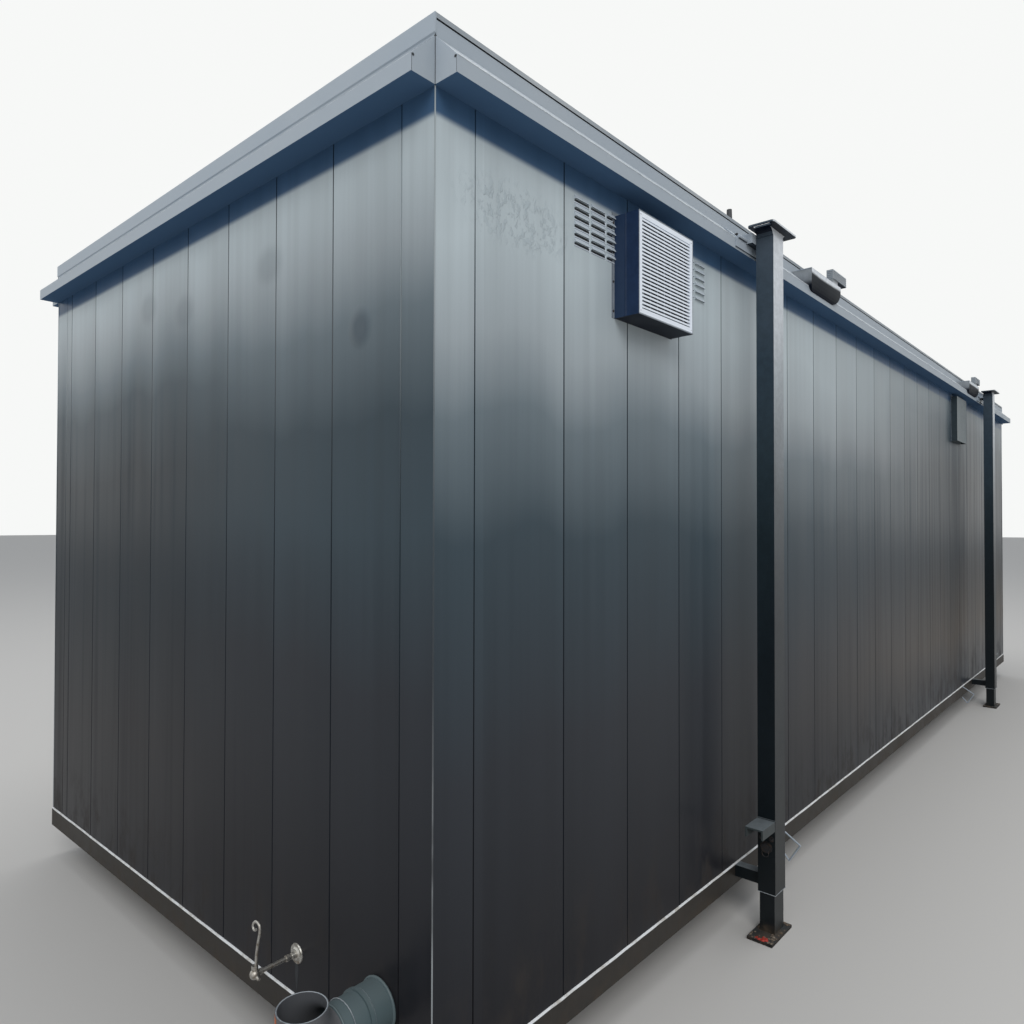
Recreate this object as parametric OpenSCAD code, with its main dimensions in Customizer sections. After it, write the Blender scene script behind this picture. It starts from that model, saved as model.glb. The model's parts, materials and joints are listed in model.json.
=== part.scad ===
// Portable steel site cabin on four telescopic corner legs.
// Origin: centre of the whole outline on the ground. +X runs along the cabin towards
// its plain end, -Y faces the long side with the fan hood, +Z is up. Millimetres.

/* [Cabin body] */
// Length over the wall faces
body_l = 7320; // [5400:10:9800]
// Width over the wall faces
body_w = 2440; // [2100:10:3100]
// Height of the roof edge above the ground
roof_z = 2566; // [2400:1:3000]
// Clear height under the base rails
ground_gap = 130; // [60:1:300]
// Height of the base rails
rail_h = 70; // [60:1:140]
// Thickness of the lined walls
wall_t = 50; // [35:1:80]

/* [Wall panels] */
// Width of the corner sheet on the long sides
corner_x = 124; // [90:1:180]
// Width of the corner sheet on the ends
corner_y = 111; // [90:1:180]
// First seam of the long sides, from the corner of the cabin
long_first = 463; // [300:1:600]
// Spacing of the seams on the long sides
long_pitch = 307; // [200:1:450]
// First seam of the ends, from the corner of the cabin
end_first = 381; // [250:1:500]
// Spacing of the seams on the ends
end_pitch = 270; // [200:1:400]
// Width of one pressed seam
seam_w = 5; // [4:0.5:14]
// Width of the joint beside each corner sheet
joint_w = 4; // [2:0.5:8]
// Depth of one pressed seam
seam_d = 6; // [2:0.5:8]

/* [Eaves] */
// How far the eaves box stands out from the wall
eave_out = 72; // [40:1:110]
// Height of the flat lip of the eaves box
eave_lip = 39; // [20:1:60]
// Height of the upright fascia under the roof edge
fascia_h = 49; // [30:1:80]
// Thickness of the folded fascia sheet
fascia_t = 3; // [2:0.5:5]
// Height of the strip along the roof edge
strip_h = 12; // [8:1:20]
// How far the strip stands out from the wall
strip_out = 5; // [4:0.5:8]
// Width of the strip that lies on the roof
strip_in = 45; // [30:1:70]
// Dark gap between the strip and the fascia
strip_gap = 3; // [2:0.5:6]
// Rise of the roof sheet at its middle
roof_rise = 40; // [15:1:90]
// Number of lapped ribs across the roof
rib_n = 11; // [5:1:16]
// Width of one rib
rib_w = 36; // [20:1:60]
// Height of one rib
rib_h = 5; // [2:0.5:10]
// Distance of the roof sheet's fold from the strip
rib_clear = 20; // [10:1:40]

/* [Base frame] */
// How far the rails stand out past the walls
rail_proud = 4; // [2:0.5:10]
// Width of the rail flanges
rail_flange = 48; // [35:1:70]
// Thickness of the rail steel
rail_t = 5; // [4:0.5:8]
// Number of floor joists
joist_n = 11; // [7:1:15]
// Width of one joist flange
joist_w = 40; // [30:1:60]
// Thickness of the floor deck
deck_t = 18; // [12:1:28]

/* [Legs] */
// Distance of each leg from the nearer end of the cabin
leg_inset = 1500; // [900:10:1900]
// Leg size along the cabin
leg_x = 88; // [60:1:110]
// Leg size across the cabin
leg_y = 63; // [56:1:110]
// Wall of the outer leg
leg_wall = 4; // [3:0.5:6]
// Space between the eaves box and the leg
leg_space = 28; // [12:1:60]
// Height of the lower end of the outer leg
sleeve_z = 146; // [130:1:260]
// Distance from the roof edge down to the top of the outer leg
leg_drop = 101; // [80:1:180]
// Sliding clearance on each side of the inner leg
slide_gap = 0.8; // [0.5:0.1:2]
// Wall of the inner leg
inner_wall = 5; // [3:0.5:6]
// Height of the top of the inner leg when it is pushed in
inner_top = 1200; // [900:10:1600]
// Number of adjusting holes in the inner leg
hole_n = 5; // [3:1:6]
// Spacing of the adjusting holes
hole_pitch = 90; // [70:5:120]
// Foot plate size along the cabin
foot_x = 175; // [140:1:260]
// Foot plate size across the cabin
foot_y = 90; // [90:1:200]
// How far the foot plate is set off towards the end of the cabin
foot_off = 20; // [0:1:30]
// Thickness of the foot plate
foot_t = 10; // [6:1:20]

/* [Leg fittings] */
// Cap plate size along the cabin
cap_x = 212; // [140:1:260]
// Cap plate size across the cabin
cap_y = 96; // [90:1:180]
// How far the cap plate is set off outwards from the leg
cap_off = 10; // [0:1:14]
// Thickness of the cap plate
cap_t = 6; // [4:1:12]
// Radius of the corners of the cap plate
cap_round = 12; // [4:1:20]
// Height of the flared neck under the cap plate
neck_h = 22; // [10:1:40]
// How far the neck flares out under the cap plate
neck_out = 26; // [10:1:30]
// How much the neck is narrower than the leg across the cabin
neck_in = 4; // [2:0.5:6]
// Length of the slot in the cap plate
slot_l = 58; // [30:1:90]
// Width of the slot in the cap plate
slot_w = 16; // [8:1:24]
// Length of the bracket between the eaves and the leg
head_l = 150; // [90:1:220]
// Height of the upper face of that bracket above the top of the leg
head_up = 12; // [4:1:20]
// Length of the saddle plate under that bracket
saddle_l = 310; // [240:2:400]
// Thickness of the saddle plate
saddle_t = 4; // [3:0.5:6]
// Distance of the upper edge of the saddle plate from the wall
saddle_in = 30; // [20:1:40]
// Height of the lower edge of the saddle plate above the underside of the eaves
saddle_hem = 8; // [4:1:16]
// Size of the lower outrigger tube
out_tube = 40; // [30:1:60]
// Wall of the lower outrigger tube
out_wall = 4; // [3:0.5:6]
// Length of the jacking bracket
jack_l = 105; // [70:1:150]
// Height of the top of the jacking bracket
jack_z = 405; // [300:5:600]
// Height of the flanges of the jacking bracket
jack_h = 34; // [20:1:60]
// Thickness of the jacking bracket
jack_t = 6; // [4:1:10]
// Height of the lock pin
pin_z = 309; // [240:1:360]
// Radius of the lock pin
pin_r = 9; // [6:0.5:12]
// Radius of the head of the lock pin
pin_head_r = 15; // [12:0.5:18]
// Length of the head of the lock pin
pin_head_l = 14; // [8:1:24]

/* [Lifting brackets] */
// Distance from the left leg to the near end of the first lifting bracket
lift_off = 530; // [300:10:900]
// Distance from the right leg back to the near end of the second lifting bracket
lift_far = 540; // [520:10:900]
// Length of the bracket along the eaves
lift_l = 360; // [260:10:520]
// Height of the bracket's shelf under the roof edge
lift_down = 53; // [40:1:90]
// How far the shelf stands out past the lip of the eaves
lift_out = 21; // [12:1:40]
// How far the shelf reaches in over the slope, measured from the wall
lift_in = 8; // [6:1:30]
// Height of the upright front edge of the shelf
lift_edge = 14; // [8:1:20]
// How far the rounded skirt hangs below the top of the lip
lift_skirt = 18; // [8:1:36]
// Radius of the lower corners of the skirt
lift_round = 60; // [40:1:80]
// Length of the hook bar
hook_l = 176; // [150:2:260]
// Height of the hook bar
hook_h = 44; // [30:1:60]
// Depth of the hook bar
hook_w = 29; // [20:1:40]
// Distance of the front of the hook bar from the wall
hook_b = 80; // [70:1:90]
// Length of the post under the hook bar
hook_post = 60; // [40:5:100]
// Height of the gap under the free end of the hook bar
hook_gap = 30; // [25:1:60]

/* [Vents] */
// Left edge of the fan hood, from the corner of the cabin
hood_x = 701; // [560:1:1100]
// Width of the fan hood
hood_w = 317; // [220:1:420]
// Height of the fan hood
hood_h = 297; // [220:1:380]
// Clear height between the fan hood and the underside of the eaves
hood_drop = 71; // [20:1:120]
// Depth of the fan hood
hood_d = 83; // [60:1:140]
// Thickness of the hood sheet
hood_t = 4; // [3:0.5:8]
// Width of the frame round the grille
frame_w = 14; // [8:1:24]
// Number of bars in the grille
bar_n = 20; // [10:1:24]
// Place of a bar in its step, as a share of the step
bar_start_share = 0.25; // [0.1:0.05:0.5]
// Tilt of the bars
bar_tilt = 40; // [0:5:60]
// Depth of one bar
bar_d = 12; // [8:1:16]
// Thickness of one bar
bar_t = 2.4; // [1.2:0.2:3]
// Number of upright wires behind the bars
wire_n = 7; // [3:1:10]
// Left edge of the louvres, from the corner of the cabin
louvre_x = 508; // [420:1:540]
// Height of the lowest louvre above the underside of the fan hood
louvre_up = 168; // [100:1:180]
// Number of louvre rows
louvre_rows = 6; // [4:1:6]
// Vertical spacing of the louvres
louvre_step = 23.6; // [20:0.2:26]
// Spacing of the louvres along the wall
louvre_pitch = 77; // [66:1:90]
// Length of one louvre
louvre_l = 62; // [40:1:64]
// How far a louvre stands out from the wall
louvre_d = 7; // [4:0.5:10]
// Height of one louvre
louvre_h = 13; // [9:0.5:16]
// Thickness of the louvre sheet
louvre_t = 1.5; // [1:0.25:2]
// Number of louvre columns to the left and to the right of the hood
louvre_cols = [3, 3]; // [0:4]
// Left edge of the small vent hood, from the corner of the cabin
small_x = 5126; // [4200:1:5250]
// Width of the small vent hood
small_w = 328; // [160:4:400]
// Depth of the small vent hood
small_d = 40; // [35:1:80]
// Clear height between the small hood and the underside of the eaves
small_drop = 22; // [10:1:60]
// Height of the small vent hood
small_h = 328; // [240:2:380]
// Radius of the roof vent at its foot
stub_r = 14; // [10:1:40]
// Radius of the roof vent at its neck
stub_top = 10; // [8:1:36]
// Height of the roof vent
stub_h = 135; // [80:5:240]

/* [Pipes] */
// Distance of the soil pipe from the corner of the cabin
soil_y = 180; // [130:5:600]
// Height of the soil pipe
soil_z = 330; // [270:5:380]
// Outer radius of the soil pipe
soil_r = 55; // [40:1:80]
// Wall of the soil pipe
soil_wall = 4; // [3:0.5:6]
// Radius of the soil bend
bend_r = 75; // [66:1:120]
// Length of the soil pipe out of the wall
soil_l = 130; // [80:5:200]
// How far the collars stand out from the pipe
collar_t = 5; // [3:0.5:10]
// Length of the socket at the wall
socket_l = 56; // [40:1:70]
// Width of the rib at the end of the socket
socket_rib = 9; // [5:0.5:14]
// Distance of the water inlet from the corner of the cabin
water_y = 525; // [400:5:800]
// Height of the water inlet
water_z = 312; // [270:2:380]
// Radius of the wall rose
rose_r = 26; // [18:1:34]
// Thickness of the wall rose
rose_t = 6; // [3:0.5:10]
// Radius of the water pipe
water_r = 8; // [6:0.5:11]
// Length of the water pipe out of the wall
water_l = 120; // [80:5:180]
// Radius of the tap body
tap_r = 13; // [12:0.5:18]
// Height of the tap body
tap_h = 32; // [24:1:50]
// Radius of the upright tube
hose_r = 5; // [3:0.5:8]
// Height of the upright tube
hose_h = 100; // [60:5:140]

/* [Hidden] */
$fn = 48;
wall_z0 = ground_gap + rail_h;
strip_z = roof_z - strip_h;
deck_edge = 26;
wall_z1 = strip_z - deck_edge;
wall_h = wall_z1 - wall_z0;
slope_z = roof_z - fascia_h;
lip_z1 = slope_z - eave_out;
lip_z0 = lip_z1 - eave_lip;
half_w = body_w / 2;
leg_b0 = eave_out + leg_space;
leg_b1 = leg_b0 + leg_y;
leg_cy = half_w + leg_b0 + leg_y / 2;
leg_z1 = roof_z - leg_drop;
inner_x = leg_x - 2 * leg_wall - 2 * slide_gap;
inner_y = leg_y - 2 * leg_wall - 2 * slide_gap;
fit_gap = 0.3;
cut = 1;
mouth_x = soil_l + bend_r;
mouth_up = 15;
collar_r = soil_r + collar_t;
reach_left = mouth_x + soil_r;
reach_right = eave_out;
x_mid = (body_l + reach_right - reach_left) / 2;
long_inner = body_l - 2 * corner_x;
end_inner = body_w - 2 * corner_y;
joist_l = body_w + 2 * rail_proud - 2 * rail_flange;
hood_z = lip_z0 - hood_drop - hood_h;
small_z = lip_z0 - small_drop - small_h;
lift_z = roof_z - lift_down;
lift_front = eave_out + lift_out;
head_z = leg_z1 + head_up;
saddle_fold = saddle_t * sqrt(2);
stub_back = 100;
stub_side = 165;
stub_up = roof_rise * (stub_back + stub_r - strip_in) / (half_w - strip_in) + fit_gap;

// Cabin coordinates: x from the left end, y from the middle of the width
module cabin() translate([-x_mid, 0, 0]) children();

// The mirrored other long side, and the mirrored other end
module rear_of() mirror([0, 1, 0]) children();
module right_of() translate([body_l, 0, 0]) mirror([1, 0, 0]) children();

// Each of the two ends of the front, then the rear
module four_corners() {
    children();
    right_of() children();
    rear_of() {
        children();
        right_of() children();
    }
}

// Centre of the leg at the left of the front
module at_leg() translate([leg_inset, -leg_cy, 0]) children();

// One leg by number: 1 and 2 on the front, 3 and 4 on the rear
module leg_place(i) cabin() {
    if (i == 1) at_leg() children();
    if (i == 2) right_of() at_leg() children();
    if (i == 3) rear_of() at_leg() children();
    if (i == 4) right_of() rear_of() at_leg() children();
}

// Plan of one mitred rail, outer edge along the x axis
module rail_plan(len) polygon([[0, 0], [len, 0], [len - rail_flange, rail_flange], [rail_flange, rail_flange]]);

// Channel rail with mitred ends, open side inwards
module rail(len) difference() {
    linear_extrude(rail_h) rail_plan(len);
    translate([-cut, rail_t, rail_t])
        cube([len + 2 * cut, rail_flange, rail_h - 2 * rail_t]);
}

module front_rail() color("#3a444d") cabin()
    translate([-rail_proud, -half_w - rail_proud, ground_gap]) rail(body_l + 2 * rail_proud);

module rear_rail() color("#3a444d") cabin() rear_of()
    translate([-rail_proud, -half_w - rail_proud, ground_gap]) rail(body_l + 2 * rail_proud);

module end_rail() translate([-rail_proud, -half_w - rail_proud, ground_gap])
    mirror([1, -1, 0]) rail(body_w + 2 * rail_proud);

module left_end_rail() color("#3a444d") cabin() end_rail();

module right_end_rail() color("#3a444d") cabin() right_of() end_rail();

// Channel section of one joist, upright web on the left
module joist() difference() {
    cube([joist_w, joist_l, rail_h]);
    translate([rail_t, -cut, rail_t]) cube([joist_w, joist_l + 2 * cut, rail_h - 2 * rail_t]);
}

module floor_joists() color("#3a444d") cabin()
    for (i = [1:joist_n])
        translate([body_l * i / (joist_n + 1) - joist_w / 2, -joist_l / 2, ground_gap]) joist();

module floor_deck() color("#6f6a60") cabin()
    translate([wall_t, -half_w + wall_t, wall_z0])
        cube([body_l - 2 * wall_t, body_w - 2 * wall_t, deck_t]);

// Outline of a wall slab in plan, with a joint at each end and a pressed V seam at each place
module panel_plan(len, seams) polygon(concat(
    [[0, seam_d], [joint_w, seam_d], [joint_w, 0]],
    [for (s = seams, k = [-1:1]) [s + k * seam_w / 2, k == 0 ? seam_d : 0]],
    [[len - joint_w, 0], [len - joint_w, seam_d], [len, seam_d], [len, wall_t], [0, wall_t]]));

long_seams = [for (s = [long_first - corner_x : long_pitch : long_inner - seam_w]) s];
end_seams = [for (s = [end_first - corner_y : end_pitch : end_inner - seam_w]) s];

module long_wall() translate([corner_x, -half_w, wall_z0])
    linear_extrude(wall_h) panel_plan(long_inner, long_seams);

module end_wall() translate([0, -half_w + corner_y, wall_z0])
    mirror([1, -1, 0]) linear_extrude(wall_h) panel_plan(end_inner, end_seams);

module front_wall() color("#56616c") cabin() long_wall();

module rear_wall() color("#56616c") cabin() rear_of() long_wall();

module left_end_wall() color("#56616c") cabin() end_wall();

module right_end_wall() color("#56616c") cabin() right_of() end_wall();

// Folded corner sheets with their lining
module corner_posts() color("#56616c") cabin() four_corners()
    translate([0, -half_w, wall_z0]) linear_extrude(wall_h)
        polygon([[0, 0], [corner_x, 0], [corner_x, wall_t], [wall_t, wall_t],
            [wall_t, corner_y], [0, corner_y]]);

// Flat rim with a low rise to the middle of the width
module roof_deck() color("#6b7680") cabin() {
    translate([0, -half_w, wall_z1]) cube([body_l, body_w, deck_edge]);
    roof_rise_run(strip_in, body_l - 2 * strip_in, 0);
    for (i = [1:rib_n])
        roof_rise_run(body_l * i / (rib_n + 1) - rib_w / 2, rib_w, rib_h);
}

// Length of the risen roof sheet from x, lifted for a rib
module roof_rise_run(x, len, up) {
    edge = half_w - strip_in - (up > 0 ? rib_clear : 0);
    translate([x + len, 0, strip_z]) rotate([90, 0, -90]) linear_extrude(len)
        polygon([[-edge, 0], [edge, 0], [edge, up], [0, roof_rise + up], [-edge, up]]);
}

module roof_edge_strip() color("#8a949d") cabin() difference() {
    translate([-strip_out, -half_w - strip_out, strip_z])
        cube([body_l + 2 * strip_out, body_w + 2 * strip_out, strip_h]);
    translate([strip_in, -half_w + strip_in, strip_z - cut])
        cube([body_l - 2 * strip_in, body_w - 2 * strip_in, strip_h + 2 * cut]);
}

// Section of the upright fascia over the eaves box: x outwards from the wall, y up
module fascia_section(top) polygon([[0, slope_z + fit_gap], [0, top],
    [fascia_t, top], [fascia_t, slope_z - fascia_t + fit_gap]]);

// Fascia sheet along x, standing out towards -y
module fascia_run(len, top) translate([len, 0, 0]) rotate([90, 0, -90]) linear_extrude(len) fascia_section(top);

// Long sides with a dark gap under the strip, ends closed up to it
module fascia() color("#6b7680") cabin() {
    long_l = body_l + 2 * fascia_t;
    translate([-fascia_t, -half_w, 0]) fascia_run(long_l, strip_z - strip_gap);
    rear_of() translate([-fascia_t, -half_w, 0]) fascia_run(long_l, strip_z - strip_gap);
    translate([0, half_w, 0]) rotate([0, 0, -90]) fascia_run(body_w, strip_z);
    right_of() translate([0, half_w, 0]) rotate([0, 0, -90]) fascia_run(body_w, strip_z);
}

// Section of the eaves box: flat underside, upright lip and a slope up to the wall
module eave_section() polygon([[0, lip_z0], [eave_out, lip_z0], [eave_out, lip_z1], [0, slope_z]]);

// Eaves box along x, standing out towards -y
module eave(len) translate([len, 0, 0]) rotate([90, 0, -90]) linear_extrude(len) eave_section();

module front_eave() color("#6b7680") cabin() translate([0, -half_w, 0]) eave(body_l);

module rear_eave() color("#6b7680") cabin() rear_of() translate([0, -half_w, 0]) eave(body_l);

module end_eave() translate([0, half_w, 0]) rotate([0, 0, -90]) eave(body_w);

module left_eave() color("#6b7680") cabin() end_eave();

module right_eave() color("#6b7680") cabin() right_of() end_eave();

// Upright rectangular tube centred on the z axis
module tube(w, d, wall, z0, z1) translate([0, 0, z0]) linear_extrude(z1 - z0) difference() {
    square([w, d], center = true);
    square([w - 2 * wall, d - 2 * wall], center = true);
}

// Outer leg with the hole for its lock pin
module outer_leg() difference() {
    tube(leg_x, leg_y, leg_wall, sleeve_z, leg_z1);
    translate([-leg_x / 2 - cut, 0, pin_z]) rotate([0, 90, 0])
        cylinder(r = pin_r + fit_gap, h = leg_wall + 2 * cut);
}

module outer_leg_1() color("#3f4d59") leg_place(1) outer_leg();
module outer_leg_2() color("#3f4d59") leg_place(2) outer_leg();
module outer_leg_3() color("#3f4d59") leg_place(3) outer_leg();
module outer_leg_4() color("#3f4d59") leg_place(4) outer_leg();

// Inner leg with its row of adjusting holes, the lowest behind the lock pin
module inner_leg() difference() {
    tube(inner_x, inner_y, inner_wall, foot_t, inner_top);
    for (i = [0:hole_n - 1])
        translate([-inner_x / 2 - cut, 0, pin_z + i * hole_pitch]) rotate([0, 90, 0])
            cylinder(r = pin_r + fit_gap, h = inner_x + 2 * cut);
}

module inner_leg_1() color("#39434c") leg_place(1) inner_leg();
module inner_leg_2() color("#39434c") leg_place(2) inner_leg();
module inner_leg_3() color("#39434c") leg_place(3) inner_leg();
module inner_leg_4() color("#39434c") leg_place(4) inner_leg();

module foot_plate() translate([-foot_x / 2 - foot_off, -foot_y / 2, 0]) cube([foot_x, foot_y, foot_t]);

module foot_plate_1() color("#3b352e") leg_place(1) foot_plate();
module foot_plate_2() color("#3b352e") leg_place(2) foot_plate();
module foot_plate_3() color("#3b352e") leg_place(3) foot_plate();
module foot_plate_4() color("#3b352e") leg_place(4) foot_plate();

// Front view of the neck: as wide as the leg below, curving out to the plate
module neck_section() polygon(concat(
    [for (t = [0:15:90]) [leg_x / 2 + neck_out * (1 - cos(t)), neck_h * sin(t)]],
    [for (t = [90:-15:0]) [-leg_x / 2 - neck_out * (1 - cos(t)), neck_h * sin(t)]]));

// Cap plate with rounded corners
module cap_outline() {
    square([cap_x - 2 * cap_round, cap_y], center = true);
    square([cap_x, cap_y - 2 * cap_round], center = true);
    for (x = [-1, 1], y = [-1, 1])
        translate([x * (cap_x / 2 - cap_round), y * (cap_y / 2 - cap_round)]) circle(r = cap_round);
}

// Neck and slotted plate on top of a leg
module leg_cap() {
    neck_y = leg_y - neck_in;
    translate([0, neck_y / 2, leg_z1]) rotate([90, 0, 0]) linear_extrude(neck_y) neck_section();
    translate([0, -cap_off, leg_z1 + neck_h]) linear_extrude(cap_t) difference() {
        cap_outline();
        translate([-cap_x / 2 + slot_w, 0]) square([slot_w, slot_l], center = true);
    }
}

module leg_caps() color("#33414c") cabin() four_corners() at_leg() leg_cap();

// Section of the saddle plate folded over the slope and the lip of the eaves
module saddle_section() polygon([[saddle_in, slope_z - saddle_in + 2 * fit_gap],
    [eave_out + fit_gap, lip_z1 + fit_gap], [eave_out + fit_gap, lip_z0 + saddle_hem],
    [eave_out + fit_gap + saddle_t, lip_z0 + saddle_hem],
    [eave_out + fit_gap + saddle_t, lip_z1 + fit_gap + saddle_fold - saddle_t],
    [saddle_in, slope_z - saddle_in + 2 * fit_gap + saddle_fold]]);

// Section of the bracket that stands on the saddle plate and reaches the leg
module head_section() polygon([[leg_b0 - fit_gap, lip_z1 - fascia_t], [leg_b0 - fit_gap, head_z],
    [slope_z + 2 * fit_gap - head_z, head_z], [eave_out + fit_gap, lip_z1 + fit_gap],
    [eave_out + fit_gap, lip_z1 - fascia_t]]);

// Saddle plate on the eaves with the bracket that holds the leg
module head_bracket() translate([leg_inset, -half_w, 0]) rotate([90, 0, -90]) {
    translate([0, 0, -saddle_l / 2]) linear_extrude(saddle_l) saddle_section();
    translate([0, 0, -head_l / 2]) linear_extrude(head_l) head_section();
}

module head_brackets() color("#4a5864") cabin() four_corners() head_bracket();

// Tube from the base rail to the outer leg
module outrigger() translate([leg_inset, -half_w - rail_proud, wall_z0 - out_tube / 2])
    rotate([90, 0, 0]) linear_extrude(leg_b0 - rail_proud) difference() {
        square([out_tube, out_tube], center = true);
        square([out_tube - 2 * out_wall, out_tube - 2 * out_wall], center = true);
    }

module lower_outriggers() color("#4a5864") cabin() four_corners() outrigger();

// Inverted channel on the end side of a leg, for a jack to push against
module jack_bracket() translate([-leg_x / 2, 0, jack_z]) rotate([90, 180, 90])
    linear_extrude(jack_l) difference() {
        translate([-leg_y / 2, 0]) square([leg_y, jack_h]);
        translate([-leg_y / 2 + jack_t, jack_t]) square([leg_y - 2 * jack_t, jack_h]);
    }

module jacking_brackets() color("#4d5c68") cabin() four_corners() at_leg()
    translate([-jack_l, 0, 0]) jack_bracket();

// Lock pin: a head outside and a shank through the wall of the outer leg
module lock_pin() translate([-leg_x / 2, 0, pin_z]) rotate([0, 90, 0]) {
    cylinder(r = pin_r, h = leg_wall);
    translate([0, 0, -pin_head_l]) cylinder(r = pin_head_r, h = pin_head_l);
}

module lock_pins() color("#7d8286") cabin() four_corners() at_leg() lock_pin();

// Section of the shelf: flat top, upright front edge, belly curving down and in to the lip
module shelf_section(low) polygon(concat(
    [[lift_in, lift_z], [lift_front, lift_z]],
    [for (t = [0:15:90]) [eave_out + fit_gap + (lift_out - fit_gap) * cos(t),
        lift_z - lift_edge - (lift_z - lift_edge - low) * sin(t)]],
    [[eave_out + fit_gap, lip_z1 + fit_gap], [lift_in, slope_z - lift_in + 2 * fit_gap]]));

// Front view of the shelf: flat top, rounded lower corners
module skirt_outline(len, high) {
    r = min(lift_round, high);
    translate([r, 0]) square([len - 2 * r, high]);
    translate([0, r]) square([len, high - r]);
    for (x = [r, len - r]) translate([x, r]) circle(r = r);
}

// Shelf on the slope with a rounded skirt over the lip, and the hook bar on its post
module lifting_bracket() {
    low = lip_z1 - lift_skirt;
    intersection() {
        translate([lift_l, 0, 0]) rotate([90, 0, -90]) linear_extrude(lift_l) shelf_section(low);
        translate([0, 0, low]) rotate([90, 0, 0])
            linear_extrude(lift_front + cut) skirt_outline(lift_l, lift_z - low);
    }
    translate([lift_l - hook_post, -hook_b, lift_z]) cube([hook_post, hook_w, hook_gap]);
    translate([lift_l - hook_post, -hook_b, lift_z + hook_gap]) cube([hook_l, hook_w, hook_h]);
}

// Two brackets on the front, both with the free end of the hook to the right
module lifting_pair() {
    translate([leg_inset + lift_off, -half_w, 0]) lifting_bracket();
    translate([body_l - leg_inset - lift_far, -half_w, 0]) lifting_bracket();
}

module lifting_brackets() color("#46525d") cabin() {
    lifting_pair();
    rear_of() lifting_pair();
}

// Sheet box open to the front, seated on the wall
module hood_box(w, d, h) difference() {
    translate([0, -d, 0]) cube([w, d, h]);
    translate([hood_t, -d - cut, hood_t]) cube([w - 2 * hood_t, d + cut - hood_t, h - 2 * hood_t]);
}

module fan_hood() color("#59646e") cabin() translate([hood_x, -half_w, hood_z]) hood_box(hood_w, hood_d, hood_h);

// Frame with sloping bars on upright wires, set into the mouth of the hood
module fan_grille() color("#7e8890") cabin()
    translate([hood_x + hood_t, -half_w - hood_d, hood_z + hood_t]) {
        w = hood_w - 2 * hood_t;
        h = hood_h - 2 * hood_t;
        step = (h - 2 * frame_w) / bar_n;
        difference() {
            cube([w, bar_d, h]);
            translate([frame_w, -cut, frame_w]) cube([w - 2 * frame_w, bar_d + 2 * cut, h - 2 * frame_w]);
        }
        for (i = [0:bar_n - 1])
            translate([frame_w / 2, bar_t, frame_w + (i + bar_start_share) * step])
                rotate([bar_tilt, 0, 0]) cube([w - frame_w, bar_d, bar_t]);
        for (k = [1:wire_n])
            translate([w * k / (wire_n + 1) - bar_t / 2, bar_d - bar_t, frame_w / 2])
                cube([bar_t, bar_t, h - frame_w]);
    }

// One pressed louvre on the wall, open at its lower edge
module louvre() difference() {
    louvre_wedge(0);
    translate([0, 0, -louvre_t]) louvre_wedge(louvre_t);
}

// Wedge of one louvre, drawn in by a margin at each end
module louvre_wedge(m) translate([m, 0, 0]) rotate([90, 0, 90]) linear_extrude(louvre_l - 2 * m)
    polygon([[m, 0], [-louvre_d + m, 0], [-louvre_d + m, louvre_t], [m, louvre_h]]);

// Field of louvres, columns by rows
module louvre_field(cols) for (c = [0:cols - 1], r = [0:louvre_rows - 1])
    translate([c * louvre_pitch, 0, r * louvre_step]) louvre();

module wall_louvre() color("#59646e") cabin() translate([0, -half_w, hood_z + louvre_up]) {
    intersection() {
        translate([louvre_x, 0, 0]) louvre_field(louvre_cols[0]);
        translate([0, -hood_d, -louvre_up]) cube([hood_x - fit_gap, hood_d, hood_h + louvre_up]);
    }
    translate([hood_x + hood_w + louvre_pitch - louvre_l, 0, 0]) louvre_field(louvre_cols[1]);
}

// Vent hood with a closed front, open below
module small_vent_hood() color("#59646e") cabin() translate([small_x, -half_w, small_z]) difference() {
    translate([0, -small_d, 0]) cube([small_w, small_d, small_h]);
    translate([hood_t, -small_d + hood_t, -cut])
        cube([small_w - 2 * hood_t, small_d - 2 * hood_t, small_h - hood_t + cut]);
}

module roof_vent() color("#4d5358") cabin()
    translate([leg_inset + stub_side, -half_w + stub_back, strip_z + stub_up])
        cylinder(r1 = stub_r, r2 = stub_top, h = stub_h);

// Straight pipe out of the wall with a wall flange
module soil_pipe() color("#9a9d9e") cabin() translate([0, -half_w + soil_y, soil_z])
    rotate([0, -90, 0]) difference() {
        union() {
            cylinder(r = soil_r, h = soil_l);
            cylinder(r = soil_r + collar_t / 2, h = socket_l);
            translate([0, 0, socket_l]) cylinder(r = collar_r, h = socket_rib);
        }
        translate([0, 0, -cut]) cylinder(r = soil_r - soil_wall, h = soil_l + 2 * cut);
    }

// Quarter bend with a plain mouth turned up
module soil_elbow() color("#9a9d9e") cabin() translate([-soil_l, -half_w + soil_y, soil_z]) {
    translate([0, 0, bend_r]) rotate([90, 180, 0]) rotate_extrude(angle = 90)
        translate([bend_r, 0]) difference() {
            circle(r = soil_r);
            circle(r = soil_r - soil_wall);
        }
    translate([-bend_r, 0, bend_r]) difference() {
        cylinder(r = soil_r, h = mouth_up);
        translate([0, 0, -cut]) cylinder(r = soil_r - soil_wall, h = mouth_up + 2 * cut);
    }
}

// Wall rose, pipe, tap body and upright tube of the water inlet
module water_inlet() color("#8f7a5e") cabin() translate([0, -half_w + water_y, water_z]) {
    rotate([0, -90, 0]) cylinder(r = rose_r, h = rose_t);
    rotate([0, -90, 0]) cylinder(r = water_r, h = water_l);
    translate([-water_l, 0, -tap_h / 2]) cylinder(r = tap_r, h = tap_h);
    translate([-water_l, 0, tap_h / 2]) cylinder(r = hose_r, h = hose_h);
}

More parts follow.
